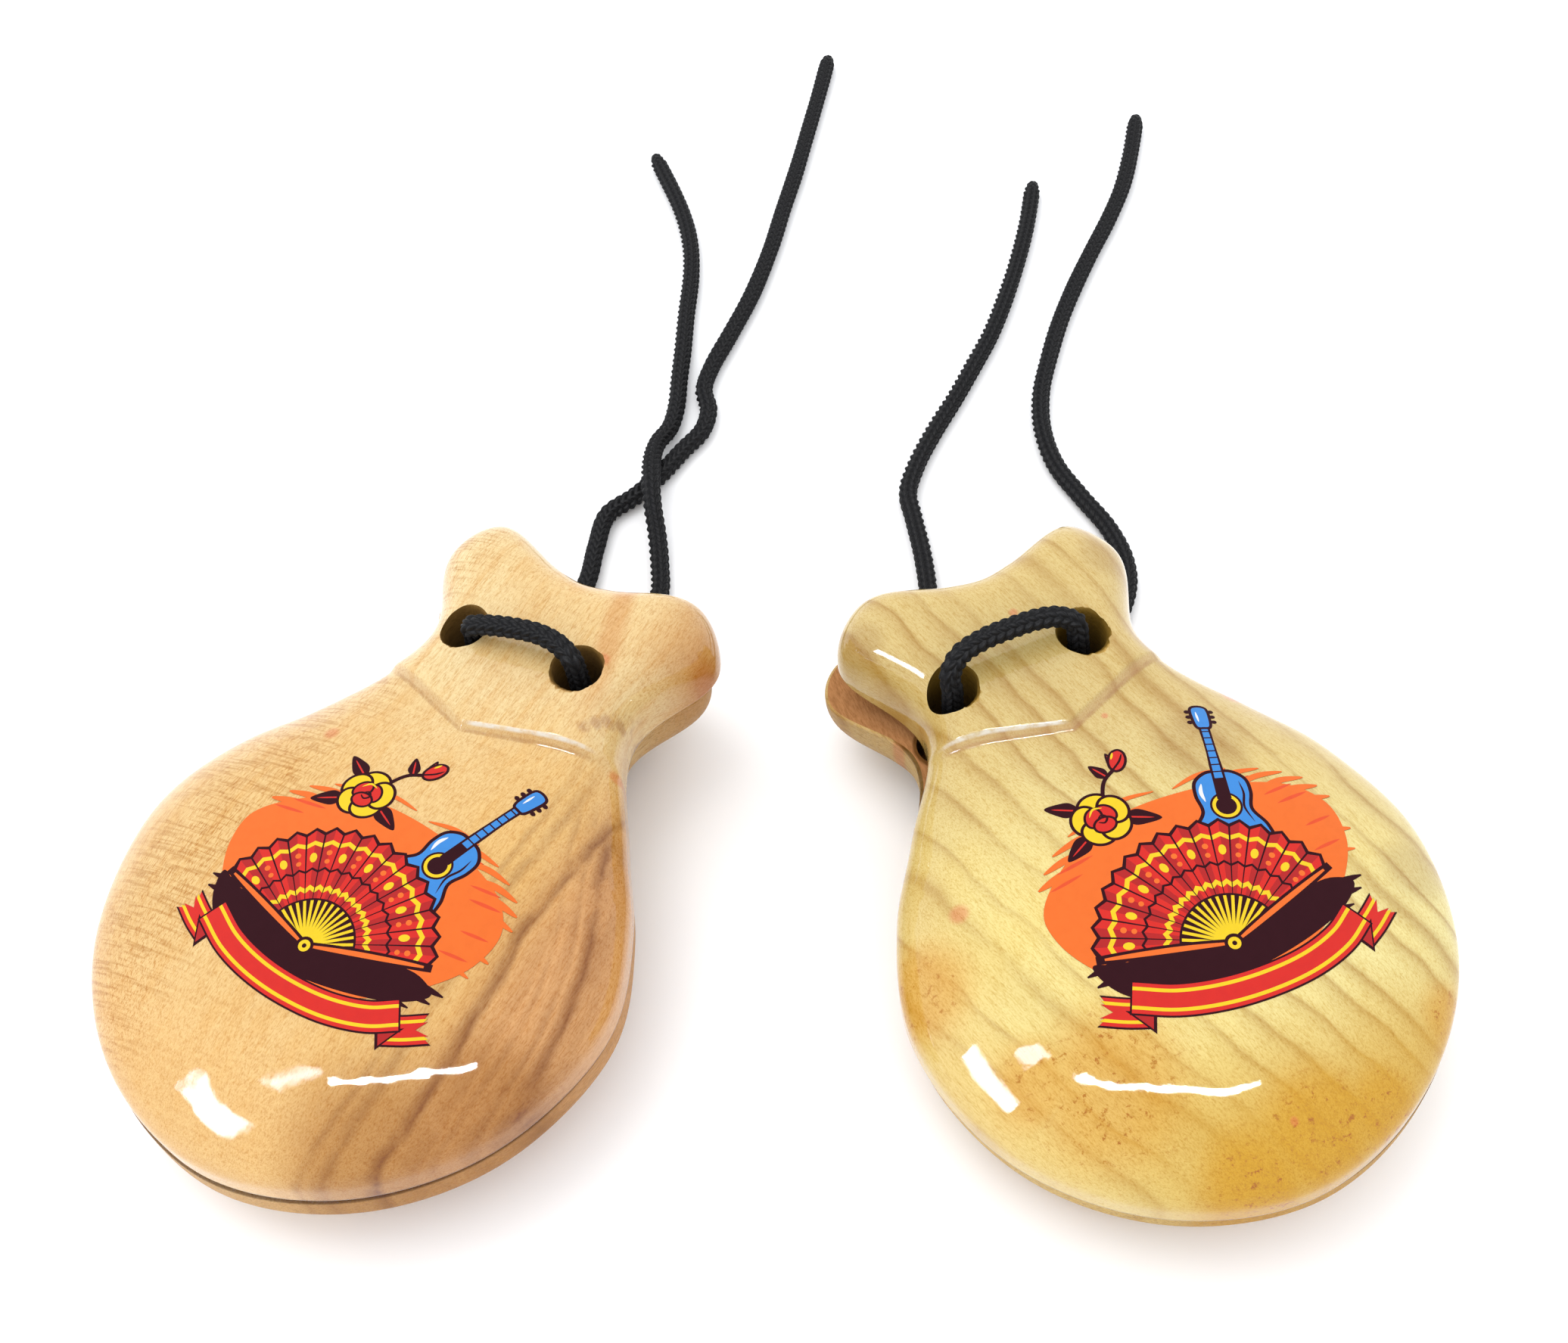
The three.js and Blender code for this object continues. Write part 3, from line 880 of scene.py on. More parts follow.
    def fibres(self, tilt):
        """Fine streaks and flecks along the grain, `tilt` degrees off the castanet's axis."""
        node = self.node("VectorRotate", self.place)
        node.rotation_type = "Z_AXIS"
        node.inputs["Angle"].default_value = math.radians(tilt)
        self.along = node.outputs[0]
        self.fine = self.noise(self.along, 1.0, 4.0, 0.65, stretch=(3.2, 0.32, 3.2))
        self.flecks = self.noise(self.along, 1.0, 3.0, 0.7, stretch=(6.5, 1.0, 6.5))

    def developed(self, haze=LACQUER_HAZE):
        """The surface's own colour, which looks like this paint's colour in the scene."""
        cleared = self.mix(1.0, self.colour, (haze,) * 3, "SUBTRACT")
        return self.mix(1.0, cleared, (LIGHT_GAIN,) * 3, "MULTIPLY")

    def finish(self, **values):
        for name, value in values.items():
            self.put(self.shader.inputs[name.replace("_", " ")], value)
        return self.material


def left_figure(paint):
    """Honey-beige wood: straight flecked grain, brown heart figure on the right, faint stains."""
    x, y = paint.x, paint.y
    paint.fibres(1.5)
    broad = paint.noise(paint.place, 0.06, 2.0)
    paint.colour = paint.ramp(broad, [(0.32, (248, 214, 154)), (0.68, (255, 230, 176))])
    streaks = paint.noise(paint.along, 1.0, 3.0, 0.6, stretch=(0.5, 0.035, 0.5))
    paint.tint(paint.ranged(streaks, 0.42, 0.7), 0.5, (238, 188, 116))
    bowl_side = paint.ranged(y, 36, 24)
    ear_side = paint.ranged(y, 36, 44)
    for mask, strength, colour in [
            (paint.ranged(y, 30, 19), 0.4, (240, 190, 112)),
            (paint.times(paint.ranged(x, -4, 16), paint.ranged(y, 34, 22)), 0.5, (240, 190, 112)),
            (paint.ranged(y, -10, -26), 0.6, (255, 208, 140)),
            (paint.times(paint.ranged(x, 15, 25), bowl_side), 0.85, (236, 178, 122)),
            (paint.spots([(19, -24, 11), (26, -14, 8)]), 0.7, (190, 132, 72)),
            (paint.times(paint.ranged(x, 9, 20), ear_side), 0.8, (208, 146, 84))]:
        paint.tint(mask, strength, colour)
    wobble = paint.times(paint.minus(paint.noise(paint.place, 0.11, 2.0), 0.5), 2.4)
    # Heart figure: lines that bend with y, each with a sharp outer and a soft inner side.
    bend = paint.curve(y, [(-34, -4.0), (-24, -1.6), (-8, 0.4), (4, 0.0), (20, -0.2), (40, -2.5)],
                       -34, 55)
    q = paint.plus(paint.minus(x, bend), wobble)
    straight = paint.ramp(paint.share(q, 10, 30), [
        (0.0, 0), (0.17, 0.0), (0.21, 0.4), (0.25, 0.05), (0.31, 0.5), (0.36, 0.05), (0.46, 0.2),
        (0.53, 1), (0.565, 0.15), (0.66, 0.3), (0.69, 0.05), (1.0, 0.0)])
    bow = paint.curve(y, [(-34, 23), (-22, 27.0), (-6, 29.2), (2, 28.2), (9, 25.8), (14, 23.4),
                          (19, 21.6), (24, 19)], -34, 24)
    r = paint.plus(paint.minus(x, bow), paint.times(wobble, 0.5))
    bowed = paint.ramp(paint.share(r, -5, 3), [
        (0.0, 0), (0.12, 0.4), (0.18, 0.1), (0.36, 0.5), (0.42, 0.15), (0.58, 1), (0.66, 0.5),
        (0.85, 0.3), (1.0, 0.0)])
    upper = paint.times(paint.ranged(y, 25, 18), paint.ranged(y, -36, -10))
    figure = paint.larger(paint.times(straight, paint.ranged(y, 32, 18)),
                          paint.times(bowed, upper))
    patchy = paint.noise(paint.along, 1.0, 2.0, 0.5, stretch=(0.5, 0.12, 0.5))
    paint.tint(paint.times(figure, paint.ranged(patchy, 0.3, 0.6, 0.5, 1.0)), 0.8, (132, 76, 46))
    stripe = paint.times(paint.line_at(q, 12.0, 2.6, 1.0), paint.ranged(y, 27, 40))
    smear = paint.spots([(12 + 0.7 * k, 30 + 1.2 * k, 0.9) for k in range(7)])
    thin = paint.ranged(paint.noise(paint.place, 0.5, 2.0), 0.35, 0.6)
    for mask, strength, colour in [
            (stripe, 0.5, (222, 152, 84)),
            (paint.spots([(21.5, 44, 3.4), (20, 38, 2.2)]), 0.6, (188, 84, 40)),
            (paint.times(smear, thin), 0.4, (160, 100, 84)),
            (paint.spots([(-14.5, 16.5, 1.0), (9.6, 38.6, 0.9), (17, 27.6, 0.8)]), 0.4,
             (232, 104, 72))]:
        paint.tint(mask, strength, colour)
    # Flecks are darkest on the left shoulder, where a faint cross ripple shows as well.
    shade = paint.ranged(paint.size(paint.plus(x, 20)), 12, 3)
    depth = paint.plus(paint.times(shade, 0.45), 0.5)
    paint.darken(paint.times(paint.ranged(paint.flecks, 0.47, 0.66), depth), 1.0,
                 (0.68, 0.48, 0.29))
    paint.darken(paint.ranged(paint.fine, 0.5, 0.3), 0.7, (0.86, 0.74, 0.58))
    paint.darken(paint.ranged(paint.fine, 0.52, 0.7), 0.5, (1.08, 1.12, 1.16))
    ripple = paint.noise(paint.place, 1.0, 3.0, 0.6, stretch=(0.16, 2.6, 0.16))
    paint.darken(paint.times(paint.ranged(ripple, 0.46, 0.66),
                             paint.plus(paint.times(shade, 0.8), 0.2)), 0.8, (0.74, 0.6, 0.45))


def right_figure(paint):
    """Pale yellow wood: soft olive bands that run slantwise, orange speckles low on the bowl."""
    x, y = paint.x, paint.y
    paint.fibres(-16)
    broad = paint.noise(paint.place, 0.05, 2.0)
    paint.colour = paint.ramp(broad, [(0.3, (253, 230, 148)), (0.7, (255, 242, 172))])
    slant = paint.plus(y, paint.times(x, 0.35))
    paint.tint(paint.ranged(slant, -4, 30), 0.8, (228, 200, 138))
    paint.tint(paint.spots([(8, 22, 14), (0, 36, 9)]), 0.05, (188, 160, 104))
    wobble = paint.times(paint.minus(paint.noise(paint.place, 0.09, 2.0), 0.5), 3.0)
    bend = paint.curve(y, [(-34, 13.5), (-24, 6.6), (-12, 0.2), (0, -4.4), (14, -8.6), (30, -12.5),
                           (54, -19)], -34, 54)
    q = paint.plus(paint.minus(x, bend), wobble)
    uneven = paint.noise(paint.node("CombineXYZ", q, 0.0, 0.0).outputs[0], 0.13, 1.0)
    q = paint.plus(q, paint.times(uneven, 9.0))
    years = paint.math("FRACT", paint.math("DIVIDE", q, 4.7))
    bands = paint.ramp(years, [(0.0, 0.12), (0.3, 0.05), (0.66, 0.42), (0.86, 1), (0.93, 0.45),
                               (1.0, 0.12)])
    strong = paint.ranged(paint.noise(paint.place, 0.06, 1.0), 0.3, 0.65, 0.3, 0.8)
    paint.tint(paint.times(bands, strong), 0.8, (180, 134, 66))
    zones = paint.spots([(-15.5, -16, 9), (-28.5, 3, 6), (2.5, -27.5, 6.5), (-6, -30, 6),
                         (-22, -12, 5), (10, -28, 4.5), (22, -22, 4)])
    low = paint.times(paint.ranged(y, -12, -27), paint.ranged(x, -24, -6))
    speck = paint.ranged(paint.noise(paint.place, 1.0, 5.0, 0.75), 0.55, 0.67)
    pink = paint.spots([(0.7, 41.2, 0.6), (-16.8, 36.4, 1.1), (-21.3, 8.5, 1.2), (20.5, 23, 1.4),
                        (0.2, -25.8, 0.5), (4.3, 24.4, 0.45)])
    grey = paint.spots([(14.5, 45, 3.4), (-17, 46, 3.0), (26, -6, 4), (12, 16, 6)])
    for mask, strength, colour in [
            (zones, 0.6, (228, 160, 38)),
            (low, 0.75, (222, 168, 44)),
            (paint.times(speck, zones), 0.85, (184, 108, 16)),
            (pink, 0.45, (236, 112, 92)),
            (grey, 0.3, (170, 130, 84)),
            (paint.ranged(x, -18, -29), 0.3, (246, 198, 128))]:
        paint.tint(mask, strength, colour)
    paint.darken(paint.ranged(paint.flecks, 0.48, 0.66), 0.6, (0.8, 0.68, 0.48))
    paint.darken(paint.ranged(paint.fine, 0.52, 0.32), 0.6, (0.86, 0.78, 0.62))
    paint.darken(paint.ranged(paint.fine, 0.52, 0.7), 0.4, (1.06, 1.08, 1.12))


def mottle(paint):
    """Cut pores: fine dots and short dashes, a little darker than the wood."""
    pores = paint.noise(paint.along, 1.0, 2.0, 0.6, stretch=(7.5, 3.4, 7.5))
    paint.darken(paint.ranged(pores, 0.5, 0.68), 0.55, (0.84, 0.74, 0.58))
    paint.darken(paint.ranged(pores, 0.5, 0.34), 0.4, (1.06, 1.07, 1.08))


def painted_light_and_corner_line(paint, ledge, corner_colour, edge, lit_side):
    """A darker line in the ledge's corner, painted shade on its steep face and by the shells'
    meeting faces, and a painted highlight on the ledge's upper edge.

    lit_side is 1 or -1: on that side of the ledge's tip its upper edge gets the painted highlight.
    """
    away = paint.ledge_away(ledge)
    near = paint.times(paint.ranged(paint.size(paint.x), 15, 12), paint.ranged(paint.z, 5, 7))
    broken = paint.ranged(paint.noise(paint.place, 0.9, 3.0), 0.3, 0.6, 0.35, 1.0)
    lit = paint.ranged(paint.times(paint.minus(paint.x, ledge["x"]), lit_side), 0.0, 1.5)
    rim = paint.ranged(paint.size(paint.z), 0.95, 0.3, 0, 0.8)
    # A darker line along the ledge's concave corner, broken up by noise.
    corner = paint.line_at(away, -LEDGE_WIDTH - 0.05, 0.38, 0.4)
    paint.tint(paint.times(corner, near), broken, corner_colour)
    # Painted shade: the ledge's steep face is tinted darker, in the given edge colour.
    paint.tint(paint.line_at(away, -0.6, 0.7, 0.22), near, edge)
    # Painted highlight: a near-white line along the ledge's upper edge, on the lit side only.
    paint.tint(paint.line_at(away, -0.12, 0.3, 0.9), paint.times(lit, near, broken),
               (255, 250, 238))
    # Painted shade: dark brown near the plane where the shells meet, in the gap between them.
    paint.tint(rim, 1.0, (92, 58, 34))


def lacquered(paint):
    grain = paint.plus(paint.times(paint.fine, 0.6), paint.times(paint.flecks, 0.4))
    coat = paint.bump(paint.noise(paint.place, 0.22, 2.0), 0.00025, 0.22,
                      paint.bump(paint.flecks, 0.00002, 0.12))
    return paint.finish(Base_Color=paint.developed(), Roughness=0.42,
                        Normal=paint.bump(grain, 0.00006, 0.35), Coat_Weight=1.0,
                        Coat_Roughness=0.03, Coat_IOR=1.5, Coat_Normal=coat,
                        Specular_IOR_Level=0.0)


def satin(paint):
    """The same wood, darker, with open pores that the thinner lacquer doesn't fill."""
    pores = paint.noise(paint.along, 1.0, 3.0, 0.7, stretch=(4.0, 0.22, 4.0))
    paint.tint(paint.ranged(pores, 0.5, 0.66), 0.5, (136, 94, 58))
    paint.tint(1.0, 0.3, (218, 166, 108))
    # Painted shade: dark brown near the plane where the shells meet, in the gap between them.
    paint.tint(paint.ranged(paint.size(paint.z), 0.8, 0.3), 0.75, (84, 54, 34))
    rough = paint.bump(pores, 0.0003, 0.8)
    return paint.finish(Base_Color=paint.developed(), Roughness=0.4, Normal=rough,
                        Coat_Weight=0.5, Coat_Roughness=0.12, Coat_Normal=rough,
                        Specular_IOR_Level=0.0)


def raw(paint, tone, holes):
    """Bare sawn wood of the flat face and the hollow, with painted shade inside the holes."""
    paint.fibres(0)
    paint.colour = tone
    paint.stain(paint.ranged(paint.fine, 0.35, 0.7), 1.0, scaled_tone(tone, 0.72))
    paint.stain(paint.ranged(paint.flecks, 0.5, 0.7), 0.4, scaled_tone(tone, 0.4))
    # Painted shade: inside each hole the wood is darkened towards 0.16 of its tone.
    for hole in holes:
        away = paint.vector("DISTANCE", paint.flat, (hole[0], hole[1], 0))
        paint.stain(paint.ranged(away, HOLE_RADIUS + 0.7, HOLE_RADIUS + 0.3), 0.7,
                    scaled_tone(tone, 0.16))
    return paint.finish(Base_Color=paint.developed(), Roughness=0.75,
                        Normal=paint.bump(paint.flecks, 0.0001, 0.6), Specular_IOR_Level=0.1)


# The figure of each castanet's wood; its ledge's corner colour, the colour of the painted
# shade on its steep face and the side of its painted highlight; its raw wood's tones.
WOODS = {
    "left": dict(figure=left_figure, painted_light_and_corner_line=((160, 100, 54), (214, 164, 110), 1),
                 raw={"top": (226, 180, 120), "bottom": (214, 168, 116)}),
    "right": dict(figure=right_figure, painted_light_and_corner_line=((168, 112, 74), (226, 168, 134), -1),
                  raw={"top": (226, 184, 110), "bottom": (206, 150, 104)}),
}


def woods(side, level, one):
    """A shell's finished wood and its raw wood."""
    wood, placed, under = WOODS[side], castanet_frame(one), under_frame(one)
    paint = Paint(f"{side}_{level}_finish", placed)
    wood["figure"](paint)
    mottle(paint)
    holes = one["holes"]
    if level == "top":
        painted_light_and_corner_line(paint, one["ledge"], *wood["painted_light_and_corner_line"])
        finish = lacquered(paint)
    else:
        holes = [under @ Vector((*hole, 0)) for hole in holes]
        finish = satin(paint)
    return finish, raw(Paint(f"{side}_{level}_raw", placed), srgb(*wood["raw"][level]), holes)


def cord_black():
    """Black spun yarn with a faint dull sheen."""
    paint = Paint("knitted_black")
    fibres = paint.noise(paint.place, 5.0, 3.0, 0.7)
    colour = paint.mix(fibres, srgb(2, 2, 3), srgb(17, 17, 20))
    return paint.finish(Base_Color=colour, Roughness=0.55, Normal=paint.bump(fibres, 0.0001, 0.6),
                        Sheen_Weight=0.04, Sheen_Roughness=0.4, Specular_IOR_Level=0.14)


def pale_table():
    paint = Paint("pale_table")
    tone = paint.mix(paint.noise(paint.place, 0.004, 2.0), (0.95, 0.95, 0.955), (0.97, 0.97, 0.975))
    return paint.finish(Base_Color=tone, Roughness=0.6, Specular_IOR_Level=0.2)


black = cord_black()
for piece in cords:
    piece.data.materials.append(black)

shells = {}
for side, one in CASTANETS.items():
    for level in ("top", "bottom"):
        shells[side, level] = make_shell(side, level, one, woods(side, level, one))

# -------- prints

# A bright transfer under the lacquer: a low sun, an open fan, a guitar, a rose and a ribbon.
# Every shape is (ink, outline) in the print's own frame: x to the right, y to the ears. Later
# shapes cover earlier ones.
INKS = {
    "sun": (250, 122, 56),
    "flame": (240, 92, 56),
    "red": (226, 56, 36),
    "crimson": (190, 34, 38),
    "yellow": (250, 214, 40),
    "dark": (58, 28, 34),
    "blue": (74, 148, 226),
    "white": (246, 246, 246),
}
DARK_COAT, BRIGHT_COAT = 0.25, 0.7    # the lacquer over the inks
LINE = 0.2                    # half the width of a drawn outline
FILM_BOTTOM, FILM_TOP = 0.006, 0.05
BRUSH_STEPS = 7
PRINT_HALF, PRINT_STEP = 20.5, 0.5    # the grid on which the shell's height is taken
RAY_START = 40                # a height above all of the shell
FILL_START, FILL_END, FILL_STEP = -19.6, 20, 0.9     # points added to follow the dome


def turned(points, degrees):
    c, s = math.cos(math.radians(degrees)), math.sin(math.radians(degrees))
    return np.asarray(points, float) @ np.array([[c, s], [-s, c]])


def placed_shapes(shapes, at, turn=0):
    return [(ink, turned(points, turn) + at) for ink, points in shapes]


def disc(x, y, radius, across=None, turn=0, steps=28):
    angles = np.linspace(0, 2 * math.pi, steps, endpoint=False)
    points = np.stack([radius * np.cos(angles), (across or radius) * np.sin(angles)], axis=1)
    return turned(points, turn) + (x, y)


def blob(points):
    return catmull_rom(points, True, BRUSH_STEPS)


def stroke(points, half, start=1, end=1):
    """A brush line through the points; start and end are how wide its ends are, of its middle."""
    if len(points) == 2:
        line = np.linspace(*np.asarray(points, float), 8)
    else:
        line = catmull_rom(points, False, BRUSH_STEPS)
    t = np.linspace(0, 1, len(line))
    ahead = unit(np.gradient(line, axis=0))
    aside = np.stack([-ahead[:, 1], ahead[:, 0]], axis=1)
    swell = start + (end - start) * t
    swell = swell + (1 - swell) * np.sin(math.pi * t) ** 0.7
    width = (half * np.maximum(swell, 0.08))[:, None]
    return np.vstack([line + aside * width, (line - aside * width)[::-1]])


def dashes(ink, ends, rise, rows):
    """Short brush lines as (x0, x1, y, half their width). Their ends are that share as wide, and
    they bow up by rise of their length."""
    shapes = []
    for x0, x1, y, half in rows:
        points = [(x0, y), ((x0 + x1) / 2, y + rise * (x1 - x0)), (x1, y)]
        shapes.append((ink, stroke(points if rise else points[::2], half, ends, ends)))
    return shapes


def outlined(ink, points, line=LINE):
    """A filled blob with a drawn edge."""
    outline = blob(points)
    before, after = np.roll(outline, 1, axis=0), np.roll(outline, -1, axis=0)
    ahead = unit(after - before)
    out = np.stack([ahead[:, 1], -ahead[:, 0]], axis=1)
    x, y = outline.T
    if np.sum(x * after[:, 1] - y * after[:, 0]) < 0:
        out = -out
    return [("dark", outline + out * line), (ink, outline - out * line)]


def mirrored(half):
    """A closed outline from its right half, which starts and ends on the axis."""
    return half + [(-x, y) for x, y in half[-2:0:-1]]


def draw_sun():
    shapes = [("sun", blob([(-15.4, 3.0), (-15.5, -0.6), (-13.6, -4.8), (-9.6, -9.2), (-3, -12),
                            (4, -12.3), (10, -10.4), (15, -6.4), (18, -2.2), (18.6, 2.2),
                            (16.6, 5.4), (12, 7.8), (5, 9.6), (-4, 9.8), (-11, 7.0)]))]
    shapes += dashes("sun", 0.2, 0.07, [
        (-14.6, -8, 5.7, 0.5), (-13.2, -7, 7.2, 0.42), (-11.4, -4, 8.7, 0.4),
        (-8.8, -2, 10.1, 0.34), (-5, 2, 11.0, 0.26), (13, 18.9, 4.9, 0.45),
        (12, 18.0, 6.4, 0.4), (10, 16.2, 7.8, 0.36), (7, 14.0, 9.1, 0.34),
        (4, 10.6, 10.4, 0.28), (14, 19.4, 3.2, 0.4), (14, 19.2, -1.2, 0.4),
        (12, 18.2, -3.6, 0.36)])
    for x0, x1, y, half in [(-13.6, -9.6, 5.0, 0.2), (-12.0, -7.6, 6.5, 0.22),
                            (-9.4, -6.0, 8.1, 0.2), (13.4, 17.2, 4.2, 0.22),
                            (12.6, 16.2, 5.7, 0.2), (14.6, 17.9, 0.6, 0.2),
                            (13.8, 17.2, -2.4, 0.2), (8.6, 12.4, 8.3, 0.18)]:
        shapes.append(("flame", stroke([(x0, y), (x1, y + 0.3)], half, 0.1, 0.1)))
    return shapes


def draw_ground():
    shapes = [("dark", blob([(-13.6, -4.4), (-11, -5.4), (-6, -6), (0, -6.4), (8, -6.2),
                             (13.6, -5.8), (15.8, -7.0), (13.6, -9), (9, -10.6), (2, -11.6),
                             (-5, -11.4), (-10.6, -9.8), (-13, -7.2)]))]
    return shapes + dashes("dark", 0.2, 0, [
        (-14.6, -9, -5.2, 0.4), (-14.2, -8, -6.6, 0.45), (11, 17.0, -6.6, 0.4),
        (10, 16.2, -7.9, 0.4), (8, 14.4, -9.3, 0.36)])


GUITAR_TURN, GUITAR_FOOT = -18.5, (5.3, -2.4)
GUITAR_HALF = [(0, 0), (2.9, 0.7), (4.35, 3.3), (3.9, 6.2), (2.65, 8.3), (3.0, 10.5),
               (2.75, 12.3), (1.4, 13.4), (0, 13.5)]
GUITAR_HEAD = [(-0.7, 20.0), (0, 19.9), (0.7, 20.0), (1.0, 21.6), (0.85, 23.2), (0, 23.5),
               (-0.85, 23.2), (-1.0, 21.6)]
GUITAR_HOLE = 8.9             # its height over the foot
FRETS, FRET_START, FRET_GAP, FRET_LINE = 7, 13.4, 0.98, 0.17
PEGS, PEG_START, PEG_GAP = 3, 20.9, 0.85


def draw_guitar():
    shapes = outlined("blue", mirrored(GUITAR_HALF))
    for ink, points, half in [
            ("white", [(-2.1, 12.0), (-2.35, 10.9), (-2.1, 9.6)], 0.22),
            ("white", [(-3.1, 7.2), (-3.7, 5.4), (-3.7, 3.6)], 0.26),
            ("dark", [(2.0, 12.0), (2.2, 10.4), (1.9, 8.6), (2.6, 6.6)], 0.14)]:
        shapes.append((ink, stroke(points, half, 0, 0)))
    for ink, radius in (("dark", 1.75), ("yellow", 1.5), ("dark", 1.12)):
        shapes.append((ink, disc(0, GUITAR_HOLE, radius)))
    shapes += [("dark", [(-0.78, 9.8), (0.78, 9.8), (0.62, 20.2), (-0.62, 20.2)]),
               ("blue", [(-0.46, 12.6), (0.46, 12.6), (0.36, 20), (-0.36, 20)])]
    for fret in range(FRETS):
        y = FRET_START + FRET_GAP * fret
        top = y + FRET_LINE
        shapes.append(("dark", [(-0.5, y), (0.5, y), (0.5, top), (-0.5, top)]))
    for peg in range(PEGS):
        for x in (-1.35, 1.35):
            shapes.append(("dark", disc(x, PEG_START + PEG_GAP * peg, 0.34, 0.27, steps=14)))
    shapes += outlined("blue", GUITAR_HEAD, 0.17)
    shapes.append(("white", stroke([(-0.35, 20.9), (-0.4, 22.6)], 0.13, 0, 0)))
    return placed_shapes(shapes, GUITAR_FOOT, GUITAR_TURN)


ROSE_AT = (-4.6, 10.4)
# The rose's leaves: stalk, length, half width, direction.
ROSE_LEAVES = [(-2.0, -1.4, 4.0, 1.0, 205), (-1.6, 2.0, 3.8, 0.95, 148), (2.1, -0.8, 4.2, 1.0, -28)]
STEM_LEAF = (3.2, 4.5, 2.6, 0.7, 116)
BUD_LEAF = (4.6, 5.4, 2.2, 0.5, 92)
# Its rings of petals: ink, count, first direction, distance, radii, points, line.
PETALS = [("yellow", 5, 90, 1.75, 1.55, 1.85, 12, 0.17), ("red", 3, 30, 0.85, 0.95, 1.25, 10, 0.14)]


def draw_leaf(x, y, length, half, turn):
    side = [(0, 0), (0.3 * length, half), (0.65 * length, 0.75 * half), (length, 0)]
    outline = side + [(a, -b) for a, b in side[-2:0:-1]]
    vein = stroke([(0.12 * length, 0), (0.8 * length, 0)], 0.1, 1, 0.1)
    return placed_shapes([("dark", blob(outline)), ("red", vein)], (x, y), turn)


def draw_rose():
    shapes = sum((draw_leaf(*leaf) for leaf in ROSE_LEAVES), [])
    shapes.append(("dark", stroke([(1.2, 2), (2.6, 4.2), (4.6, 5.3)], 0.22)))
    shapes += draw_leaf(*STEM_LEAF)
    for ink, count, start, distance, radius, across, steps, line in PETALS:
        for k in range(count):
            angle = start + 360 / count * k
            petal = disc(*polar(angle, distance), radius, across, angle, steps)
            shapes += outlined(ink, petal, line)
    curl = [(-0.5, -0.3), (0.1, -0.6), (0.6, -0.1), (0.2, 0.4), (-0.3, 0.2)]
    shapes += [("yellow", stroke([(-1.1, 0.7), (-0.3, 1.45), (0.7, 1.2)], 0.13, 0, 0)),
               ("dark", stroke(curl, 0.13, 0.4, 0.4))]
    shapes += draw_leaf(*BUD_LEAF)
    shapes += outlined("red", disc(5.2, 6.1, 1.5, 0.95, 58, 10), 0.15)
    shapes += [("yellow", stroke([(4.7, 6.5), (5.3, 7.3)], 0.14, 0, 0)),
               ("dark", stroke([(4.3, 5.2), (5.4, 5.9), (6.1, 6.7)], 0.13, 1, 0.1))]
    return placed_shapes(shapes, ROSE_AT)


FAN_PIVOT = (0.6, -8.4)
FAN_START, FAN_END, PLEATS = 161, 17, 16
FAN_INNER, FAN_FOLD, FAN_PEAK = 5.6, 13.6, 14.3
PLEAT_GAP = 0.45              # degrees on each side of a pleat where the dark edge shows
FAN_STRIPES = [(12.2, 12.75, "yellow"), (9.0, 9.3, "dark"), (6.5, 7.1, "yellow")]


def draw_pleat(number, a, b):
    """A pleat between two folds' directions: a lit and a shaded half, its stripes and dots."""
    lit, shade = ("red", "crimson") if number % 2 else ("crimson", "red")
    middle = (a + b) / 2
    a, b = a - PLEAT_GAP, b + PLEAT_GAP
    shapes = [(shade, [polar(a, FAN_INNER), polar(a, FAN_FOLD), polar(middle, FAN_PEAK),
                       polar(middle, FAN_INNER)]),
              (lit, [polar(middle, FAN_INNER), polar(middle, FAN_PEAK), polar(b, FAN_FOLD),
                     polar(b, FAN_INNER)])]
    for low, high, ink in FAN_STRIPES:
        shapes.append((ink, [polar(a, low - 0.2), polar(a, high - 0.2), polar(middle, high + 0.2),
                             polar(b, high - 0.2), polar(b, low - 0.2), polar(middle, low + 0.2)]))
    if number % 2:
        return shapes + [("sun", disc(*polar(middle, 11.3), 0.34, steps=10)),
                         ("sun", disc(*polar(middle, 10.2), 0.3, steps=10))]
    return shapes + [("yellow", disc(*polar(middle, 10.75), 0.62, 0.42, middle, 12))]


def draw_fan():
    step = (FAN_END - FAN_START) / PLEATS
    folds = [FAN_START + step * k for k in range(PLEATS + 1)]
    fold, peak, hub = FAN_FOLD + LINE * 2, FAN_PEAK + LINE * 2, FAN_INNER - 0.3
    edge = [polar(FAN_START + 1.6, fold)]
    for a in folds[:-1]:
        edge += [polar(a + step / 2, peak), polar(a + step, fold)]
    edge += [polar(FAN_END - 1.6, hub)] + [polar(a, hub) for a in folds[::-1]]
    shapes = [("dark", edge)]
    for number, a in enumerate(folds[:-1]):
        shapes += draw_pleat(number, a, a + step)
    angles = np.linspace(FAN_START + 2, FAN_END - 2, 40)
    shapes.append(("dark", [polar(a, FAN_INNER - 0.1) for a in angles]
                   + [polar(a, 0.4) for a in angles[::-1]]))
    for a in folds:
        thick = 0.30 if a in (folds[0], folds[-1]) else 0.17
        shapes.append(("yellow", stroke([polar(a, 0.5), polar(a, FAN_INNER - 0.25)], thick, 0.5)))
    for a in (FAN_START + 1.2, FAN_END - 1.2):
        shapes += [("dark", stroke([(0, 0), polar(a, 7), polar(a, FAN_PEAK)], 0.62, 0.7, 0.7)),
                   ("sun", stroke([polar(a, 1), polar(a, 7), polar(a, 13.4)], 0.3, 0.5, 0.4))]
    shapes += [("dark", disc(0, 0, 1.05)), ("yellow", disc(0, 0, 0.68)),
               ("dark", disc(0, 0, 0.26, steps=14))]
    return placed_shapes(shapes, FAN_PIVOT)


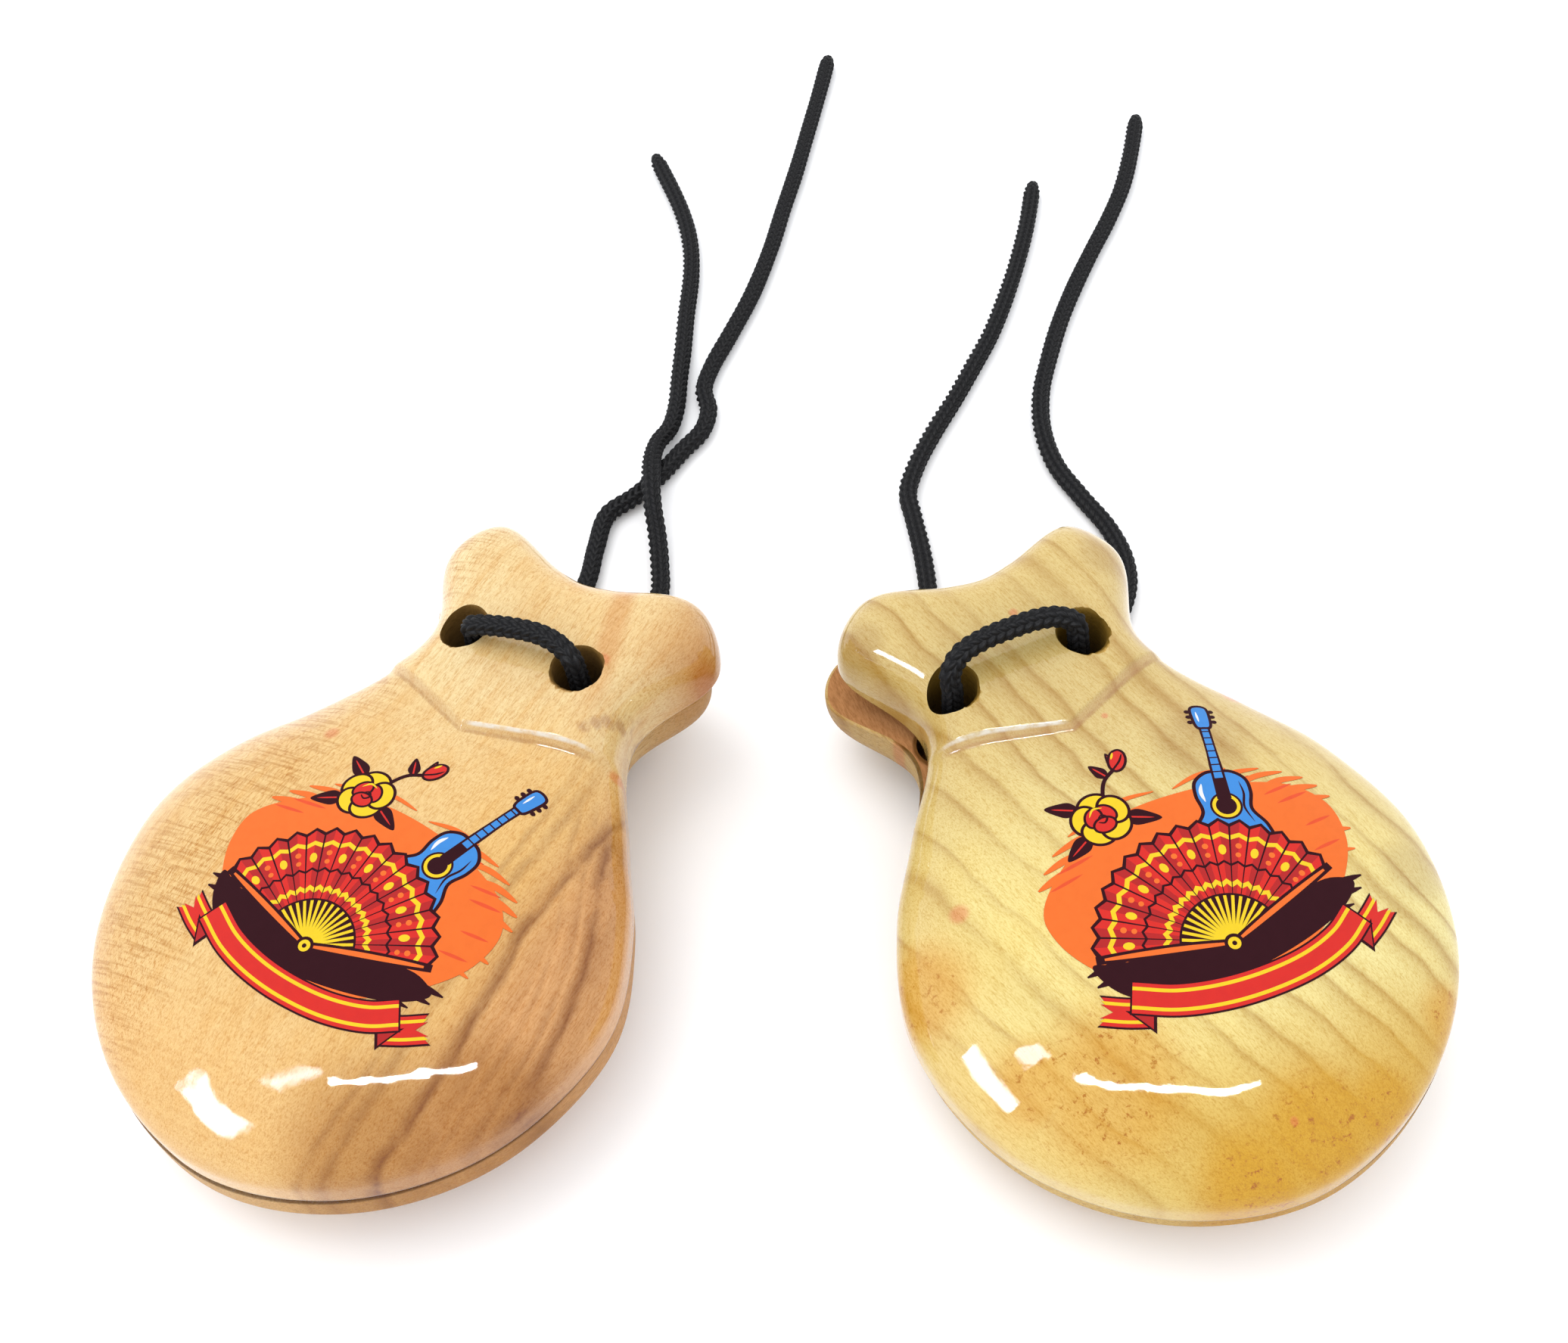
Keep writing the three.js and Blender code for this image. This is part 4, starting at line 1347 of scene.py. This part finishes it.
RIBBON = [(-11.6, -9.1), (-7.6, -11.3), (-3, -12.7), (2, -13.3), (7, -13.1), (11.2, -12),
          (14, -10.4)]
RIBBON_HALF, TAIL_HALF, TAIL_NOTCH = 1.6, 1.45, 1.5
RIBBON_TAILS = [[(-10.5, -11.4), (-12.8, -10.3), (-15.1, -8.9)],
                [(13.0, -12.7), (15.2, -11.6), (17.4, -10.2)]]
RIBBON_FOLDS = [[(-12.4, -10.5), (-10.5, -11.6), (-11.2, -12.9)],
                [(14.8, -11.8), (13.0, -12.9), (13.7, -14.1)]]
FOLD_EDGE = 1.45              # how much larger a fold's drawn edge is


def draw_band(line, half, notch=0.0):
    """A red band with two thin yellow lines, and a swallow-tail notch at its end."""
    shapes = []
    line = np.asarray(line, float)
    first, last = unit(line[0] - line[1]), unit(line[-1] - line[-2])
    for ink, wide, past in (("dark", half + LINE, LINE), ("red", half, 0),
                            ("yellow", half * 0.74, 0), ("red", half * 0.5, 0)):
        band = stroke([line[0] + first * past, *line[1:-1], line[-1] + last * past], wide)
        if notch:
            middle = len(band) // 2
            tip = (band[middle - 1] + band[middle]) / 2 - last * notch * (1 if past else 0.85)
            band = np.insert(band, middle, tip, axis=0)
        shapes.append((ink, band))
    return shapes


def draw_ribbon():
    shapes = []
    for tail in RIBBON_TAILS:
        shapes += draw_band(tail, TAIL_HALF, TAIL_NOTCH)
    for fold in RIBBON_FOLDS:
        middle = np.mean(fold, axis=0)
        shapes += [("dark", middle + (np.array(fold) - middle) * FOLD_EDGE), ("crimson", fold)]
    return shapes + draw_band(RIBBON, RIBBON_HALF)


def surface_heights(piece, placed):
    """Heights and slopes of a shell's top over a square grid of its frame."""
    back = placed.inverted()
    tree = BVHTree.FromPolygons([back @ v.co / MM for v in piece.data.vertices],
                                [p.vertices for p in piece.data.polygons])
    marks = np.arange(-PRINT_HALF, PRINT_HALF + PRINT_STEP / 2, PRINT_STEP)
    down = Vector((0, 0, -1))
    heights = np.array([[tree.ray_cast(Vector((x, y, RAY_START)), down)[0].z for x in marks]
                        for y in marks])
    slope_y, slope_x = np.gradient(heights, PRINT_STEP)
    return marks, heights, slope_x, slope_y


def sampled(marks, grid, points):
    """The grid's value at each point, between its four neighbours."""
    at = (points - marks[0]) / PRINT_STEP
    cell = np.clip(at.astype(int), 0, len(marks) - 2)
    f, g = (at - cell).T
    j, i = cell.T
    low = grid[i, j] * (1 - f) + grid[i, j + 1] * f
    high = grid[i + 1, j] * (1 - f) + grid[i + 1, j + 1] * f
    return low * (1 - g) + high * g


def within(points, outline):
    """Which points a closed outline goes round, by its winding number."""
    x, y = points.T
    a, b = outline[:, :, None], np.roll(outline, -1, axis=0)[:, :, None]
    rising = (a[:, 1] <= y) & (b[:, 1] > y)
    falling = (a[:, 1] > y) & (b[:, 1] <= y)
    drop = np.where(a[:, 1] == b[:, 1], 1, b[:, 1] - a[:, 1])
    right_of = a[:, 0] + (y - a[:, 1]) / drop * (b[:, 0] - a[:, 0]) > x
    return (rising & right_of).sum(axis=0) != (falling & right_of).sum(axis=0)


def print_regions(shapes):
    """The shapes as one flat mesh without overlaps: points, triangles and each one's ink."""
    outlines = [np.asarray(outline, float) for _, outline in shapes]
    edges = []
    for outline in outlines:
        start, count = len(edges), len(outline)
        edges += [(start + k, start + (k + 1) % count) for k in range(count)]
    marks = np.arange(FILL_START, FILL_END, FILL_STEP)
    inner = [(x + 0.013 * y, y - 0.017 * x) for x in marks for y in marks * 1.05]
    flat = [Vector(p) for p in np.vstack(outlines + [inner])]
    points, _, triangles, *_ = delaunay_2d_cdt(flat, edges, [], 0, 1e-5)
    points, triangles = np.array([tuple(p) for p in points]), np.array(triangles)
    centres = points[triangles].mean(axis=1)
    top = np.full(len(centres), -1)
    for number, outline in enumerate(outlines):
        top[within(centres, outline)] = number
    inked = top >= 0
    used, renumbered = np.unique(triangles[inked], return_inverse=True)
    return points[used], renumbered.reshape(-1, 3).tolist(), [shapes[k][0] for k in top[inked]]


def make_print(side, one, regions, inks):
    place, placed = one["print"], castanet_frame(one)
    flat, triangles, colours = regions
    at = turned(flat * place["scale"], place["turn"]) + place["at"]
    marks, heights, slope_x, slope_y = surface_heights(shells[side, "top"], placed)
    z = sampled(marks, heights, at)
    count = len(at)
    verts = np.vstack([np.column_stack([at, z + lift]) for lift in (FILM_TOP, FILM_BOTTOM)])
    edges = [(t[k], t[(k + 1) % 3]) for t in triangles for k in range(3)]
    known = set(edges)
    rim = [(a, b) for a, b in edges if (b, a) not in known]
    faces = triangles + [[i + count for i in reversed(t)] for t in triangles]
    faces += [[b, a, a + count, b + count] for a, b in rim]
    piece = mesh_object(f"{side}_print_film", moved(placed, verts * MM), faces)
    for material in inks.values():
        piece.data.materials.append(material)
    names = list(inks)
    index = [names.index(c) for c in colours]
    index += index + [names.index("dark")] * len(rim)
    piece.data.polygons.foreach_set("material_index", index)
    normals = unit(np.column_stack([-sampled(marks, slope_x, at), -sampled(marks, slope_y, at),
                                    np.ones(count)])) @ np.array(placed.to_3x3()).T
    piece.data.normals_split_custom_set_from_vertices(np.vstack([normals, -normals]).tolist())
    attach(piece, f"{side}_top")
    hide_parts(f"{side}_print")
    return piece


def ink(name, colour):
    """Printed ink under the lacquer, a little uneven."""
    paint = Paint("ink_" + name)
    paint.colour = tone = srgb(*colour)
    uneven = paint.noise(paint.place, 0.9, 3.0)
    paint.stain(paint.ranged(uneven, 0.35, 0.7), 0.3, scaled_tone(tone, 0.85))
    coat = DARK_COAT if name == "dark" else BRIGHT_COAT
    return paint.finish(Base_Color=paint.developed(LACQUER_HAZE * coat), Roughness=0.5,
                        Coat_Weight=coat, Coat_Roughness=0.04, Specular_IOR_Level=0.0)


regions = print_regions(draw_sun() + draw_ground() + draw_guitar() + draw_rose() + draw_fan()
                        + draw_ribbon())
inks = {name: ink(name, colour) for name, colour in INKS.items()}
for side, one in CASTANETS.items():
    make_print(side, one, regions, inks)

# -------- table and light

TABLE_HALF = 2000 * MM
WORLD_COLOUR, WORLD_STRENGTH = (0.97, 0.98, 1.0, 1), 1.35
COOL, WHITE = (0.74, 0.8, 1.0), (1, 1, 1)
# Each lamp: its name, direction, distance and size in metres, power, colour.
SOFT_LAMP = ("soft_above", (-0.35, 0.25, 0.9), 1.3, (1.0, 1.0), 6, WHITE)
MIRRORED_LAMPS = [
    ("window", (-0.78, -0.36, 0.54), 0.8, (0.26, 0.15), 2.6, COOL),
    ("pane", (-0.5, -0.24, 0.83), 0.8, (0.05, 0.16), 0.42, COOL),
    ("strip", (-0.04, -0.34, 0.94), 2.4, (1.5, 0.055), 100, WHITE),
]


def make_table():
    half = TABLE_HALF
    corners = [(-half, -half, 0), (half, -half, 0), (half, half, 0), (-half, half, 0)]
    table = mesh_object("table", corners, [[0, 1, 2, 3]])
    table.data.materials.append(pale_table())


def make_lamp(name, towards, distance, size, power, colour):
    """A rectangular lamp that faces the castanets."""
    data = bpy.data.lights.new(name, "AREA")
    data.shape = "RECTANGLE"
    data.size, data.size_y = size
    data.energy, data.color = power, colour
    lamp = added(name, data)
    direction = Vector(towards).normalized()
    lamp.location = direction * distance
    lamp.rotation_euler = direction.to_track_quat("Z", "Y").to_euler()
    return lamp


def make_world():
    world = bpy.data.worlds.new("studio")
    world.use_nodes = True
    background = world.node_tree.nodes["Background"]
    background.inputs["Color"].default_value = WORLD_COLOUR
    background.inputs["Strength"].default_value = WORLD_STRENGTH
    bpy.context.scene.world = world


make_table()
make_world()
make_lamp(*SOFT_LAMP).visible_glossy = False
for lamp in MIRRORED_LAMPS:
    make_lamp(*lamp).visible_diffuse = False
bpy.context.scene.view_settings.view_transform = "Standard"
